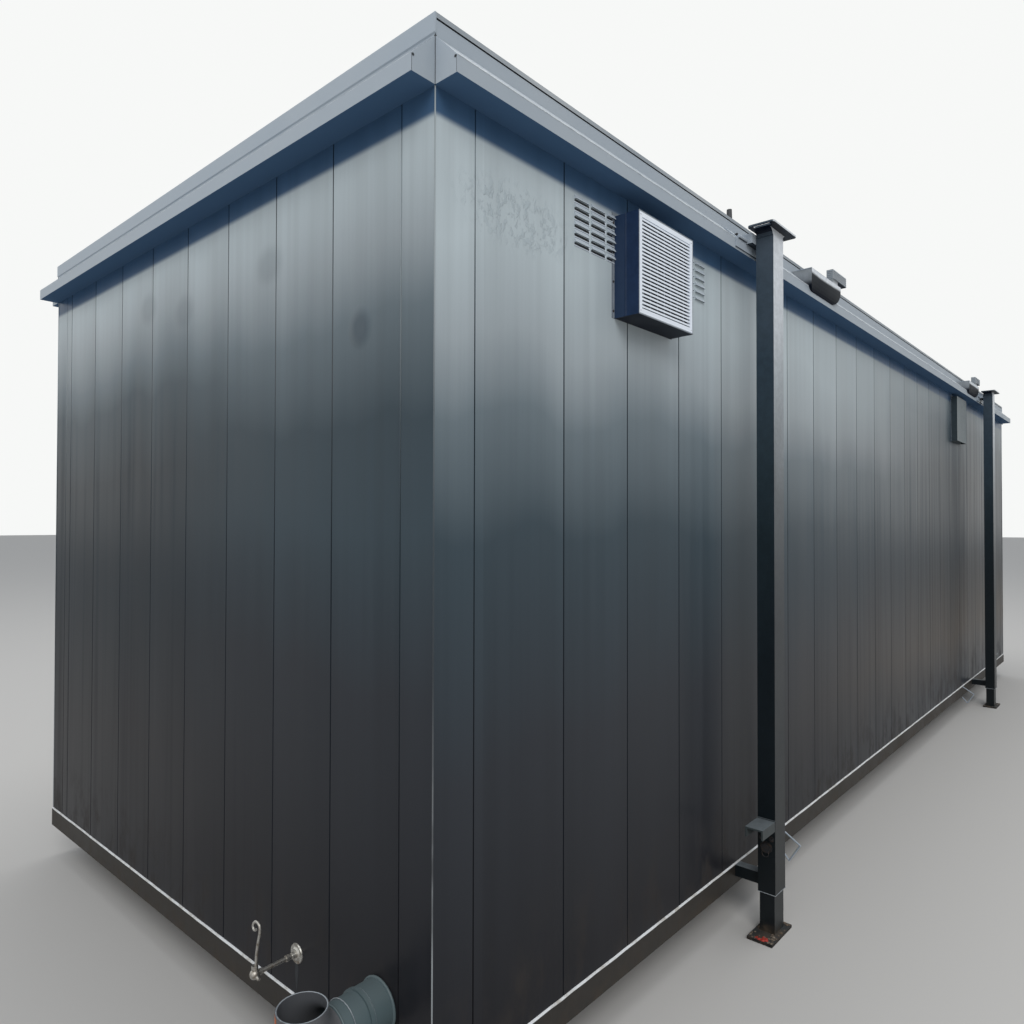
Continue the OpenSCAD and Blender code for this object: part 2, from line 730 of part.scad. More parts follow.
front_rail();
rear_rail();
left_end_rail();
right_end_rail();
floor_joists();
floor_deck();
front_wall();
rear_wall();
left_end_wall();
right_end_wall();
corner_posts();
roof_deck();
roof_edge_strip();
fascia();
front_eave();
rear_eave();
left_eave();
right_eave();
outer_leg_1();
outer_leg_2();
outer_leg_3();
outer_leg_4();
inner_leg_1();
inner_leg_2();
inner_leg_3();
inner_leg_4();
foot_plate_1();
foot_plate_2();
foot_plate_3();
foot_plate_4();
leg_caps();
head_brackets();
lower_outriggers();
jacking_brackets();
lock_pins();
lifting_brackets();
wall_louvre();
fan_hood();
fan_grille();
small_vent_hood();
roof_vent();
soil_pipe();
soil_elbow();
water_inlet();
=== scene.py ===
# %% [markdown]
# # A portable steel site cabin
# The cabin stands on four telescopic legs. Its solids come packed and in place, so this
# notebook adds what solids can't hold: paint, dirt, sealant, bolts, welds and light.
# We load the frame first, and keep its box.

import json
import math
import random

import bmesh
import bpy
from mathutils import Matrix, Vector, noise

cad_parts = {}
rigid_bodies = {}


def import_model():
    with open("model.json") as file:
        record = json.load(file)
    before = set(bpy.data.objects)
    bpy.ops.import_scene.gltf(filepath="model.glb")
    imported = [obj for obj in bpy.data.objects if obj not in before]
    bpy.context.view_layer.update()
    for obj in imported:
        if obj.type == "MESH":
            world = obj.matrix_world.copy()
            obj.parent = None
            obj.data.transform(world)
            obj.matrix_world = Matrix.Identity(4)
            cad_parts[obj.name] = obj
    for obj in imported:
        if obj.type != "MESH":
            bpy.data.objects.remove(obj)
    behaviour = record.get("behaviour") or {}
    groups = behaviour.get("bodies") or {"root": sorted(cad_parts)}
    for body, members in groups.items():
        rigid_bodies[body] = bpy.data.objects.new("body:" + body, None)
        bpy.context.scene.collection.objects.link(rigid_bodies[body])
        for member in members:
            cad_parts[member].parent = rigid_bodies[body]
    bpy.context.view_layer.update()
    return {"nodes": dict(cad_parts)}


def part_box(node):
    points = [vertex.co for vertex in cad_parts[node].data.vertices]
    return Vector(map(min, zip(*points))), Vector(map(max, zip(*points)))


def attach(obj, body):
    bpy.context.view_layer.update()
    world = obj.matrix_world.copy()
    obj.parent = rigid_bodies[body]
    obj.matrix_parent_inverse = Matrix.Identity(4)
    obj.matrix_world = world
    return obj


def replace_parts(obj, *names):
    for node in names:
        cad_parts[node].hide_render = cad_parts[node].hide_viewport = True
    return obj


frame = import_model()
random.seed(24)
MM = 0.001

# %% [markdown]
# ## Where things are
# Every place is read from the solids, so nothing is fitted by eye. The corner nearest to
# the camera is where the long front wall meets the left end wall. Each leg gets its centre
# and two signs: which way is its end of the cabin, and which way is outwards.

# %% Key places
def span(node):
    low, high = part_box(node)
    return Vector(low), Vector(high)


wall_low, wall_high = span("corner_posts")
rail_low, rail_high = span("front_rail")
eave_low, eave_high = span("front_eave")
left_x, right_x = wall_low.x, wall_high.x
front_y, rear_y = wall_low.y, wall_high.y
floor_edge = rail_high.z
lip_out = front_y - eave_low.y
lip_low = eave_low.z
legs = []
for number in range(1, 5):
    low, high = span(f"outer_leg_{number}")
    centre = (low + high) / 2
    legs.append((number, centre.x, centre.y, math.copysign(1, centre.x), math.copysign(1, centre.y)))
leg_low, leg_high = span("outer_leg_1")
leg_half_x, leg_half_y = (leg_high.x - leg_low.x) / 2, (leg_high.y - leg_low.y) / 2
leg_foot, leg_top = leg_low.z, leg_high.z
print("walls", left_x, right_x, front_y, rear_y, "rail top", floor_edge, "leg", leg_foot, leg_top)

# %% [markdown]
# ## Camera
# The picture was taken close to the corner with a wide lens held almost level. A least
# squares fit of the wall edges gave the place, the heading and the focal length below.
# The roll is tiny but it keeps the uprights where they belong.

# %% Camera
def corner_camera():
    heading, pitch, roll = math.radians(41.68), math.radians(0.84), math.radians(0.12)
    forward = Vector((math.cos(heading) * math.cos(pitch), math.sin(heading) * math.cos(pitch), math.sin(pitch)))
    right = Vector((math.sin(heading), -math.cos(heading), 0))
    up = right.cross(forward)
    right_rolled = math.cos(roll) * right + math.sin(roll) * up
    up_rolled = math.cos(roll) * up - math.sin(roll) * right
    turn = Matrix((right_rolled, up_rolled, -forward)).transposed().to_4x4()
    data = bpy.data.cameras.new("corner_camera")
    data.sensor_width = 36
    data.lens = 738.3 / 1024 * 36
    data.clip_start, data.clip_end = 0.05, 200
    camera = bpy.data.objects.new("corner_camera", data)
    camera.matrix_world = Matrix.Translation((left_x - 1.0881, front_y - 1.1973, 1.445)) @ turn
    bpy.context.collection.objects.link(camera)
    bpy.context.scene.camera = camera
    return camera


camera = corner_camera()
print("camera at", tuple(round(c, 3) for c in camera.matrix_world.translation), "lens", round(camera.data.lens, 2))

# %% [markdown]
# ## Light
# The day was overcast: no sun, a bright even sky, and soft contact shadows. A pale world
# does most of that. Two very large lamps add a gentle fall from top to bottom. The camera,
# mirrors and glass see a near white backdrop, the paint is lit by a weaker blue-white sky.

# %% World and lamps
def overcast_world():
    world = bpy.data.worlds.new("overcast")
    bpy.context.scene.world = world
    world.use_nodes = True
    nodes, links = world.node_tree.nodes, world.node_tree.links
    nodes.clear()
    out = nodes.new("ShaderNodeOutputWorld")
    sky, backdrop = nodes.new("ShaderNodeBackground"), nodes.new("ShaderNodeBackground")
    sky.inputs["Color"].default_value = (0.86, 0.92, 1.0, 1)
    sky.inputs["Strength"].default_value = 0.62
    backdrop.inputs["Color"].default_value = (0.93, 0.94, 0.93, 1)
    backdrop.inputs["Strength"].default_value = 1.0
    path, mix = nodes.new("ShaderNodeLightPath"), nodes.new("ShaderNodeMixShader")
    seen = path.outputs["Is Camera Ray"]
    for ray in ("Is Glossy Ray", "Is Transmission Ray"):
        either = nodes.new("ShaderNodeMath")
        either.operation = "MAXIMUM"
        links.new(seen, either.inputs[0])
        links.new(path.outputs[ray], either.inputs[1])
        seen = either.outputs[0]
    links.new(seen, mix.inputs["Fac"])
    links.new(sky.outputs[0], mix.inputs[1])
    links.new(backdrop.outputs[0], mix.inputs[2])
    links.new(mix.outputs[0], out.inputs["Surface"])


def soft_lamp(name, place, aim, size, power):
    data = bpy.data.lights.new(name, "AREA")
    data.shape, data.size, data.energy = "DISK", size, power
    lamp = bpy.data.objects.new(name, data)
    lamp.location = place
    lamp.rotation_euler = (Vector(aim) - Vector(place)).to_track_quat("-Z", "Y").to_euler()
    bpy.context.collection.objects.link(lamp)


overcast_world()
soft_lamp("sky_front", (left_x - 7, front_y - 9, 11), (left_x + 2, front_y, 1.2), 9, 900)
soft_lamp("sky_above", (0, 0, 14), (0, 0, 1), 12, 700)
bpy.context.scene.view_settings.view_transform = "Standard"

# %% [markdown]
# ## Floor
# A plain pale floor holds the shadow of the cabin and closes the view. It is large enough
# to reach the horizon from the corner camera.

# %% Floor
def pale_floor():
    mesh = bpy.data.meshes.new("studio_floor")
    bm = bmesh.new()
    bmesh.ops.create_grid(bm, x_segments=1, y_segments=1, size=90)
    bm.to_mesh(mesh)
    bm.free()
    floor = bpy.data.objects.new("studio_floor", mesh)
    bpy.context.collection.objects.link(floor)
    finish = bpy.data.materials.new("studio_floor")
    finish.use_nodes = True
    shader = finish.node_tree.nodes["Principled BSDF"]
    shader.inputs["Base Color"].default_value = (0.56, 0.54, 0.51, 1)
    shader.inputs["Roughness"].default_value = 0.9
    shader.inputs["Specular IOR Level"].default_value = 0.1
    mesh.materials.append(finish)


pale_floor()
print("floor laid")

# %% [markdown]
# ## A small kit for finishes
# Every finish here is built from noise in Object coordinates: a broad cloudy variation,
# tall thin streaks where rain runs, and a fine grain for the roughness and the bump.
# Height and the way that a face looks matter too: tops take dust and painted sky light,
# undersides take painted shade, and splashed mud ends above the ground.

# %% Node helpers
class Finish:
    """One material with short ways to add and join nodes."""

    def __init__(self, name):
        self.material = bpy.data.materials.new(name)
        self.material.use_nodes = True
        self.nodes, self.links = self.material.node_tree.nodes, self.material.node_tree.links
        self.shader = self.nodes["Principled BSDF"]
        self.place = self.nodes.new("ShaderNodeTexCoord").outputs["Object"]
        split = self.nodes.new("ShaderNodeSeparateXYZ")
        self.links.new(self.place, split.inputs[0])
        self.x, self.y, self.z = split.outputs
        facing = self.nodes.new("ShaderNodeSeparateXYZ")
        self.links.new(self.nodes.new("ShaderNodeNewGeometry").outputs["Normal"], facing.inputs[0])
        self.facing_x, self.facing_y, self.facing_z = facing.outputs

    def noise(self, scale, stretch=(1, 1, 1), detail=4, rough=0.55, offset=(0, 0, 0)):
        mapping = self.nodes.new("ShaderNodeMapping")
        mapping.inputs["Scale"].default_value = stretch
        mapping.inputs["Location"].default_value = offset
        node = self.nodes.new("ShaderNodeTexNoise")
        node.inputs["Scale"].default_value = scale
        node.inputs["Detail"].default_value = detail
        node.inputs["Roughness"].default_value = rough
        self.links.new(self.place, mapping.inputs["Vector"])
        self.links.new(mapping.outputs["Vector"], node.inputs["Vector"])
        return node.outputs["Fac"]

    def ramp(self, value, low, high, out_low=0.0, out_high=1.0):
        node = self.nodes.new("ShaderNodeMapRange")
        node.interpolation_type = "SMOOTHSTEP"
        for name, number in (("From Min", low), ("From Max", high), ("To Min", out_low), ("To Max", out_high)):
            node.inputs[name].default_value = number
        self.links.new(value, node.inputs["Value"])
        return node.outputs["Result"]

    def height(self, low, high, out_low=0.0, out_high=1.0):
        return self.ramp(self.z, low, high, out_low, out_high)

    def math(self, kind, a, b=0.0, clamp=True):
        node = self.nodes.new("ShaderNodeMath")
        node.operation = kind
        node.use_clamp = clamp
        for value, socket in ((a, node.inputs[0]), (b, node.inputs[1])):
            if isinstance(value, (int, float)):
                socket.default_value = value
            else:
                self.links.new(value, socket)
        return node.outputs[0]

    def colours(self, value, low, high, stops):
        """A colour for each height from low to high; stops are (height, colour)."""
        scaled = self.nodes.new("ShaderNodeMapRange")
        scaled.inputs["From Min"].default_value = low
        scaled.inputs["From Max"].default_value = high
        self.links.new(value, scaled.inputs["Value"])
        node = self.nodes.new("ShaderNodeValToRGB")
        band = node.color_ramp
        band.elements.remove(band.elements[1])
        for number, (height, colour) in enumerate(stops):
            place = (height - low) / (high - low)
            element = band.elements.new(place) if number else band.elements[0]
            element.position = place
            element.color = (*colour, 1)
        self.links.new(scaled.outputs["Result"], node.inputs["Fac"])
        return node.outputs["Color"]

    def spot(self, middle, radii):
        """1 at the middle of an ellipsoid and 0 outside it."""
        mapping = self.nodes.new("ShaderNodeMapping")
        mapping.vector_type = "TEXTURE"
        mapping.inputs["Location"].default_value = middle
        mapping.inputs["Scale"].default_value = radii
        self.links.new(self.place, mapping.inputs["Vector"])
        length = self.nodes.new("ShaderNodeVectorMath")
        length.operation = "LENGTH"
        self.links.new(mapping.outputs["Vector"], length.inputs[0])
        return self.ramp(length.outputs["Value"], 1.0, 0.35)

    def mix(self, amount, a, b):
        node = self.nodes.new("ShaderNodeMix")
        node.data_type = "RGBA"
        if isinstance(amount, (int, float)):
            node.inputs["Factor"].default_value = amount
        else:
            self.links.new(amount, node.inputs["Factor"])
        for value, socket in ((a, node.inputs["A"]), (b, node.inputs["B"])):
            if isinstance(value, tuple):
                socket.default_value = (*value, 1)
            else:
                self.links.new(value, socket)
        return node.outputs["Result"]

    def shade(self, colour, amount):
        """The colour times a grey amount."""
        node = self.nodes.new("ShaderNodeVectorMath")
        node.operation = "SCALE"
        self.links.new(colour, node.inputs[0])
        self.links.new(amount, node.inputs["Scale"])
        return node.outputs[0]

    def bump(self, value, strength, distance, after=None):
        node = self.nodes.new("ShaderNodeBump")
        node.inputs["Strength"].default_value = strength
        node.inputs["Distance"].default_value = distance
        self.links.new(value, node.inputs["Height"])
        if after is not None:
            self.links.new(after, node.inputs["Normal"])
        return node.outputs["Normal"]

    def set(self, **sockets):
        for name, value in sockets.items():
            socket = self.shader.inputs[name.replace("_", " ")]
            if isinstance(value, (int, float)):
                socket.default_value = value
            elif isinstance(value, tuple):
                socket.default_value = (*value, 1)
            else:
                self.links.new(value, socket)
        return self


print("finish kit ready")

# %% [markdown]
# ## Slate paint on the walls
# The cladding is rolled steel with a semi-gloss slate coat. Its colour is one band over the
# height, a painted reflection: pale high up, where the sky would show in the gloss, and dark
# further down, where the ground would. A thin deep blue band right under the eaves is painted
# shade. Noise breaks the band edges, and splashed mud lies low down. Long soft waves in the sheet are bump.

# %% Wall paint
# The first colour is painted shade under the eaves. The others and the four band tables are a painted reflection: pale
# where the sky would show in the gloss, dark where the ground would.
under_eave_shade_blue = (0.048, 0.100, 0.182)
low_reflection_black = (0.015, 0.015, 0.018)
deep_slate = (0.016, 0.023, 0.030)
dark_slate = (0.032, 0.036, 0.043)
blue_slate = (0.047, 0.068, 0.083)
mid_slate = (0.145, 0.180, 0.200)
pale_slate = (0.34, 0.38, 0.40)
sky_reflection_pale = (0.47, 0.53, 0.55)
warm_ground_reflection = (0.060, 0.048, 0.038)
long_near_bands = [
    (0.25, low_reflection_black), (0.85, dark_slate), (1.40, blue_slate), (1.70, mid_slate), (1.88, pale_slate), (2.12, sky_reflection_pale),
]
long_far_bands = [(0.30, dark_slate), (0.65, warm_ground_reflection), (1.25, deep_slate), (1.80, deep_slate), (2.15, blue_slate), (2.33, mid_slate)]
end_near_bands = [
    (0.40, low_reflection_black), (1.05, dark_slate), (1.45, blue_slate), (1.72, blue_slate),
    (1.97, mid_slate), (2.15, pale_slate), (2.30, sky_reflection_pale),
]
end_far_bands = [
    (0.25, low_reflection_black), (0.70, low_reflection_black), (1.20, deep_slate), (1.60, deep_slate), (1.87, blue_slate),
    (2.00, mid_slate), (2.17, pale_slate), (2.30, sky_reflection_pale),
]
long_seams, end_seams = (463 * MM, 307 * MM), (381 * MM, 270 * MM)


def panel_tone(f, on_end):
    """Each panel a little lighter or darker, and a little darker towards one edge: that ramp across the panel is a
    painted reflection.
    """
    on_long = f.math("SUBTRACT", 1.0, on_end)
    x_part = f.math("DIVIDE", f.math("SUBTRACT", f.x, left_x + long_seams[0], clamp=False), long_seams[1], clamp=False)
    y_part = f.math("DIVIDE", f.math("SUBTRACT", f.y, front_y + end_seams[0], clamp=False), end_seams[1], clamp=False)
    count = f.math("ADD", f.math("MULTIPLY", x_part, on_long, clamp=False), f.math("MULTIPLY", y_part, on_end, clamp=False), clamp=False)
    number = f.math("SINE", f.math("MULTIPLY", f.math("FLOOR", count, clamp=False), 12.9, clamp=False), clamp=False)
    across = f.ramp(f.math("FRACT", count), 0.0, 1.0, 0.96, 1.05)
    return f.math("ADD", across, f.math("MULTIPLY", number, 0.03, clamp=False), clamp=False)


def wall_paint():
    f = Finish("slate_wall_paint")
    cloud = f.noise(0.9, detail=3)
    runs = f.noise(1.0, stretch=(26, 26, 0.5), detail=5, rough=0.6)
    broad_runs = f.noise(1.0, stretch=(3.6, 3.6, 0.25), detail=2, rough=0.5)
    grain = f.noise(260, detail=2)
    drift = f.math("ADD", f.ramp(cloud, 0.25, 0.75, -0.04, 0.04), f.ramp(broad_runs, 0.25, 0.75, -0.05, 0.05), clamp=False)
    sideways = f.math("ABSOLUTE", f.facing_x)
    on_end = f.ramp(sideways, 0.4, 0.6)
    in_seam = f.math("MULTIPLY", f.ramp(sideways, 0.10, 0.30), f.ramp(sideways, 0.995, 0.96))
    drift = f.math("MULTIPLY", drift, f.height(2.36, 2.2), clamp=False)
    drifted = f.math("ADD", f.z, drift, clamp=False)
    # The bands are the painted reflection; near and far bands differ because that painted reflection fades along each
    # wall.
    bands = [f.colours(drifted, 0, 2.5, table) for table in (long_near_bands, long_far_bands, end_near_bands, end_far_bands)]
    on_long = f.mix(f.ramp(f.x, left_x + 1.0, left_x + 5.6), bands[0], bands[1])
    base = f.mix(on_end, on_long, f.mix(f.ramp(f.y, front_y + 0.4, front_y + 1.6), bands[2], bands[3]))
    # A thin band right under the eaves: painted shade.
    base = f.mix(f.height(2.335, 2.355), base, under_eave_shade_blue)
    base = f.shade(base, f.ramp(runs, 0.3, 0.7, 0.95, 1.05))
    base = f.shade(base, panel_tone(f, on_end))
    base = f.mix(f.math("MULTIPLY", in_seam, 0.7), base, (0.010, 0.013, 0.018))
    frost = f.ramp(f.noise(60, stretch=(1, 1, 0.6), detail=4, rough=0.7), 0.50, 0.60)
    frost = f.math("MULTIPLY", frost, f.spot((left_x + 0.28, front_y, 2.20), (0.29, 0.30, 0.11)))
    base = f.mix(f.math("MULTIPLY", frost, 0.22), base, (0.26, 0.32, 0.36))
    splash = f.math("MULTIPLY", f.height(0.55, 0.15), f.ramp(f.noise(11, stretch=(1, 1, 0.5), detail=7, rough=0.65), 0.45, 0.70))
    base = f.mix(f.math("MULTIPLY", splash, 0.35), base, (0.070, 0.056, 0.043))
    dents = f.spot((left_x, front_y + 0.268, 1.92), (0.05, 0.052, 0.060))
    for middle in ((left_x, front_y + 1.22, 2.14), (left_x, front_y + 1.50, 2.2), (left_x, front_y + 0.69, 2.17)):
        dents = f.math("ADD", dents, f.math("MULTIPLY", f.spot(middle, (0.05, 0.09, 0.07)), 0.4))
    base = f.mix(f.math("MULTIPLY", dents, 0.55), base, (0.060, 0.080, 0.100))
    rough = f.math("ADD", f.ramp(runs, 0.4, 0.75, 0.30, 0.42), f.math("MULTIPLY", splash, 0.3))
    normal = f.bump(f.noise(1.0, stretch=(3.3, 3.3, 0.8), detail=1.5, rough=0.4), 0.3, 0.02)
    normal = f.bump(dents, 0.6, 0.006, normal)
    normal = f.bump(frost, 0.6, 0.002, normal)
    normal = f.bump(grain, 0.06, 0.0004, normal)
    f.set(Base_Color=base, Roughness=rough, Normal=normal, Specular_IOR_Level=0.13)
    return f.material


slate = wall_paint()
print("made", slate.name)

# %% [markdown]
# ## Paint on the folded eaves and the strip
# The eaves are the same sheet, pale and dusty, with stains where water stands. Their
# undersides are painted deep blue, painted shade, and their end faces painted lighter,
# painted light. The face direction picks between them, and tops take dust and painted sky light.

# %% Paint picked by face direction: dust and painted sky light on top, painted shade below
def weathered_paint_and_painted_light(name, colour, under, dust, gloss=0.38, dust_amount=0.35, wear=0.2, level=0.4, painted_end_light=1.0):
    f = Finish(name)
    cloud = f.noise(2.4, detail=5)
    speck = f.noise(38, detail=6, rough=0.7)
    scratch = f.noise(9, stretch=(6, 6, 1), detail=8, rough=0.75)
    base = f.mix(f.ramp(cloud, 0.35, 0.7, 0.0, dust_amount), colour, dust)
    base = f.mix(f.math("MULTIPLY", f.ramp(scratch, 0.62, 0.70), wear), base, (0.17, 0.17, 0.165))
    base = f.mix(f.ramp(speck, 0.60, 0.78, 0.0, 0.35), base, dust)
    # Tops are mixed towards the dust colour: dust, and painted sky light.
    base = f.mix(f.math("MULTIPLY", f.ramp(f.facing_z, 0.4, 0.9), 0.3), base, dust)
    # Faces looking along x are made lighter by the given factor: painted light.
    base = f.shade(base, f.ramp(f.math("ABSOLUTE", f.facing_x), 0.4, 0.6, 1.0, painted_end_light))
    # Faces that look down take the under colour: painted shade.
    below = f.ramp(f.facing_z, -0.75, -0.95)
    base = f.mix(below, base, under)
    normal = f.bump(f.noise(5, detail=2), 0.25, 0.01)
    normal = f.bump(speck, 0.15, 0.0008, normal)
    rough = f.math("ADD", f.ramp(cloud, 0.3, 0.75, gloss, gloss + 0.2), f.math("MULTIPLY", below, 0.5))
    f.set(Base_Color=base, Roughness=rough, Normal=normal, Specular_IOR_Level=level)
    return f.material


# On the eaves the deep blue under colour is the painted shade of the soffit.
eave_paint = weathered_paint_and_painted_light("slate_eave_paint", (0.345, 0.390, 0.432), (0.060, 0.122, 0.222), (0.44, 0.47, 0.49), gloss=0.38, wear=0.12, level=0.15, painted_end_light=1.22)
strip_mastic = weathered_paint_and_painted_light("gritty_strip", (0.270, 0.300, 0.325), (0.03, 0.035, 0.04), (0.42, 0.44, 0.45), gloss=0.6, dust_amount=0.9)
# The collar's deep navy is painted shade, as on the hood sides.
collar_paint = weathered_paint_and_painted_light("slate_collar_paint", (0.018, 0.038, 0.085), (0.008, 0.014, 0.03), (0.045, 0.070, 0.115), gloss=0.4, dust_amount=0.6, wear=0.05, level=0.2)
louvre_edge = weathered_paint_and_painted_light("pale_louvre_edge", (0.74, 0.80, 0.86), (0.30, 0.36, 0.44), (0.66, 0.70, 0.74), gloss=0.3, dust_amount=0.4, wear=0.0)
roof_paint = weathered_paint_and_painted_light("weathered_roof_coat", (0.110, 0.125, 0.140), (0.05, 0.06, 0.07), (0.18, 0.18, 0.17), gloss=0.5, dust_amount=0.55, wear=0.1)
drain_grey = weathered_paint_and_painted_light("drain_plastic", (0.078, 0.112, 0.120), (0.03, 0.04, 0.045), (0.15, 0.18, 0.18), gloss=0.40, dust_amount=0.3, wear=0.0)
pipe_grey = weathered_paint_and_painted_light("pipe_plastic", (0.095, 0.098, 0.104), (0.05, 0.05, 0.055), (0.16, 0.16, 0.16), gloss=0.42, dust_amount=0.4, wear=0.0)
dark_plastic = weathered_paint_and_painted_light("vent_plastic", (0.045, 0.048, 0.052), (0.02, 0.02, 0.02), (0.12, 0.12, 0.12), gloss=0.5, wear=0.0)
grille_paint = weathered_paint_and_painted_light("pale_grille_paint", (0.80, 0.85, 0.92), (0.62, 0.70, 0.82), (0.74, 0.76, 0.78), gloss=0.35, dust_amount=0.2, wear=0.0)
louvre_paint = weathered_paint_and_painted_light("pale_louvre_paint", (0.52, 0.58, 0.63), (0.04, 0.06, 0.10), (0.55, 0.58, 0.60), gloss=0.35, dust_amount=0.3, wear=0.0)
bracket_paint = weathered_paint_and_painted_light("pale_bracket_paint", (0.300, 0.350, 0.400), (0.02, 0.03, 0.045), (0.45, 0.49, 0.53), gloss=0.4, dust_amount=0.8, wear=0.2)
print("weathered finishes ready")

# %% [markdown]
# ## Paint on legs, hoods and the base frame
# A leg has a pale outer face and dark sides, lit and shaded copies of one paint: the pale face
# is a painted reflection of the sky, the sides are painted shade. The hoods do the same. Low
# down the legs darken, the same painted reflection as on the walls, mud lies at the foot, and
# the base rails are grey brown all along.

# %% Paint with a painted reflection on the outer face and painted shade on the sides
def sided_paint(name, outer_bands, side_bands, gloss=0.34, wear=0.12, mud_top=0.05, level=0.22, drift=0.12, turn=(0.6, 0.85), top_dust_and_sky_light=0.8):
    f = Finish(name)
    cloud = f.noise(3.1, stretch=(1, 1, 0.4), detail=5)
    speck = f.noise(42, detail=6, rough=0.7)
    scratch = f.noise(9, stretch=(6, 6, 1), detail=8, rough=0.75)
    height = f.math("ADD", f.z, f.ramp(cloud, 0.3, 0.7, -drift, drift), clamp=False)
    outer = f.colours(height, 0, 2.6, outer_bands)
    side = f.colours(height, 0, 2.6, side_bands)
    # Faces turned along y take the outer bands and the rest the side bands: lit and shaded copies, a painted reflection
    # and painted shade.
    outward = f.ramp(f.math("ABSOLUTE", f.facing_y), *turn)
    base = f.mix(outward, side, outer)
    # Tops are mixed paler: dust, and painted sky light.
    base = f.mix(f.math("MULTIPLY", f.ramp(f.facing_z, 0.4, 0.9), top_dust_and_sky_light), base, (0.16, 0.18, 0.19))
    # Faces that look down go near black: painted shade.
    base = f.mix(f.ramp(f.facing_z, -0.3, -0.7), base, (0.003, 0.006, 0.015))
    base = f.mix(f.math("MULTIPLY", f.ramp(scratch, 0.62, 0.70), wear), base, (0.17, 0.17, 0.165))
    base = f.shade(base, f.ramp(speck, 0.3, 0.75, 0.9, 1.15))
    mud = f.math("MULTIPLY", f.height(mud_top, 0.02), f.ramp(f.noise(16, detail=7, rough=0.65), 0.42, 0.66))
    base = f.mix(f.math("MULTIPLY", mud, 0.7), base, (0.095, 0.070, 0.048))
    rough = f.math("ADD", f.ramp(cloud, 0.3, 0.75, gloss, gloss + 0.15), f.math("MULTIPLY", mud, 0.4))
    normal = f.bump(f.noise(5, detail=2), 0.2, 0.006)
    normal = f.bump(speck, 0.12, 0.0006, normal)
    f.set(Base_Color=base, Roughness=rough, Normal=normal, Specular_IOR_Level=level)
    return f.material


# Leg bands: the pale outer face high up is a painted reflection of the sky, the dark blue sides painted shade, and both
# darken low down as the same painted reflection.
leg_outer = [(0.1, (0.018, 0.021, 0.022)), (1.0, (0.034, 0.039, 0.043)), (1.5, (0.085, 0.096, 0.104)), (2.0, (0.32, 0.35, 0.37)), (2.4, (0.62, 0.65, 0.68))]
leg_side = [(0.1, (0.006, 0.009, 0.011)), (0.9, (0.007, 0.012, 0.016)), (1.35, (0.013, 0.023, 0.030)), (1.7, (0.024, 0.040, 0.052)), (2.1, (0.028, 0.047, 0.066)), (2.5, (0.058, 0.080, 0.105))]
# The lifting bracket bands are painted light and shade by height: near black under the hook, pale in the narrow bands
# above.
lift_outer = [(2.40, (0.005, 0.008, 0.013)), (2.490, (0.008, 0.012, 0.018)), (2.498, (0.74, 0.77, 0.80)), (2.512, (0.70, 0.73, 0.76)),
              (2.540, (0.08, 0.09, 0.10)), (2.545, (0.52, 0.54, 0.55))]
lift_side = [(2.40, (0.05, 0.055, 0.065)), (2.47, (0.24, 0.26, 0.28)), (2.55, (0.30, 0.32, 0.33))]
# Hood bands: a pale outer face and navy sides, lit and shaded copies; the navy is painted shade.
hood_side = [(0, (0.012, 0.028, 0.070)), (2.6, (0.016, 0.034, 0.080))]
hood_outer = [(0, (0.20, 0.22, 0.25)), (2.6, (0.24, 0.27, 0.30))]
rail_bands = [(0.0, (0.026, 0.023, 0.020)), (0.3, (0.034, 0.030, 0.026))]
jack_bands = [(0.0, (0.034, 0.042, 0.043)), (0.5, (0.052, 0.063, 0.065))]
leg_paint = sided_paint("leg_paint_with_painted_sheen", leg_outer, leg_side)
lift_paint = sided_paint("lifting_bracket_paint", lift_outer, lift_side, gloss=0.5, level=0.1, wear=0.25, drift=0.003, turn=(0.15, 0.4))
# The small hood has the same pale outer face and dark sides: painted light and shade.
small_hood_paint = sided_paint("small_hood_paint", [(0, (0.115, 0.140, 0.150)), (2.6, (0.135, 0.160, 0.170))], [(0, (0.030, 0.042, 0.050)), (2.6, (0.036, 0.050, 0.060))])
vent_paint = sided_paint("slate_vent_paint", hood_outer, hood_side, gloss=0.36, wear=0.05, level=0.12)
frame_paint = sided_paint("muddy_frame_paint", rail_bands, rail_bands, gloss=0.45, wear=0.10, mud_top=0.22)
jack_paint = sided_paint("jack_bracket_paint", jack_bands, jack_bands, gloss=0.40, wear=0.3)
foot_bands = [(0.0, (0.012, 0.012, 0.012)), (0.1, (0.016, 0.017, 0.018))]
foot_paint = sided_paint("muddy_foot_steel", foot_bands, foot_bands, gloss=0.55, wear=0.15, mud_top=0.03, top_dust_and_sky_light=0.15)
print("sided finishes ready")

# %% [markdown]
# ## Plain small finishes
# The lock pins and bolts are dark with rust, the water inlet is tarnished chrome over
# brass, sealant is near white, and the floor board shows only from below, as raw board.

# %% Small finishes
def plain_finish(name, colour, stain, rough, metal=0.0, grain=60):
    f = Finish(name)
    cloud = f.noise(grain, detail=6, rough=0.7)
    base = f.mix(f.ramp(cloud, 0.42, 0.72), colour, stain)
    normal = f.bump(cloud, 0.2, 0.0006)
    f.set(Base_Color=base, Metallic=metal, Roughness=f.ramp(cloud, 0.3, 0.7, rough, rough + 0.25), Normal=normal)
    return f.material


def folded_corner():
    """The wall's painted reflection bands, darker, with a pale line low down."""
    f = Finish("folded_corner_paint")
    base = f.colours(f.z, 0, 2.5, [(h, tuple(c * 0.7 for c in colour)) for h, colour in long_near_bands])
    pale_line = f.math("MULTIPLY", f.height(1.15, 0.55), f.ramp(f.noise(7, stretch=(1, 1, 0.4), detail=4), 0.30, 0.5))
    f.set(Base_Color=f.mix(f.math("MULTIPLY", pale_line, 0.9), base, (0.30, 0.32, 0.33)), Roughness=0.35)
    return f.material


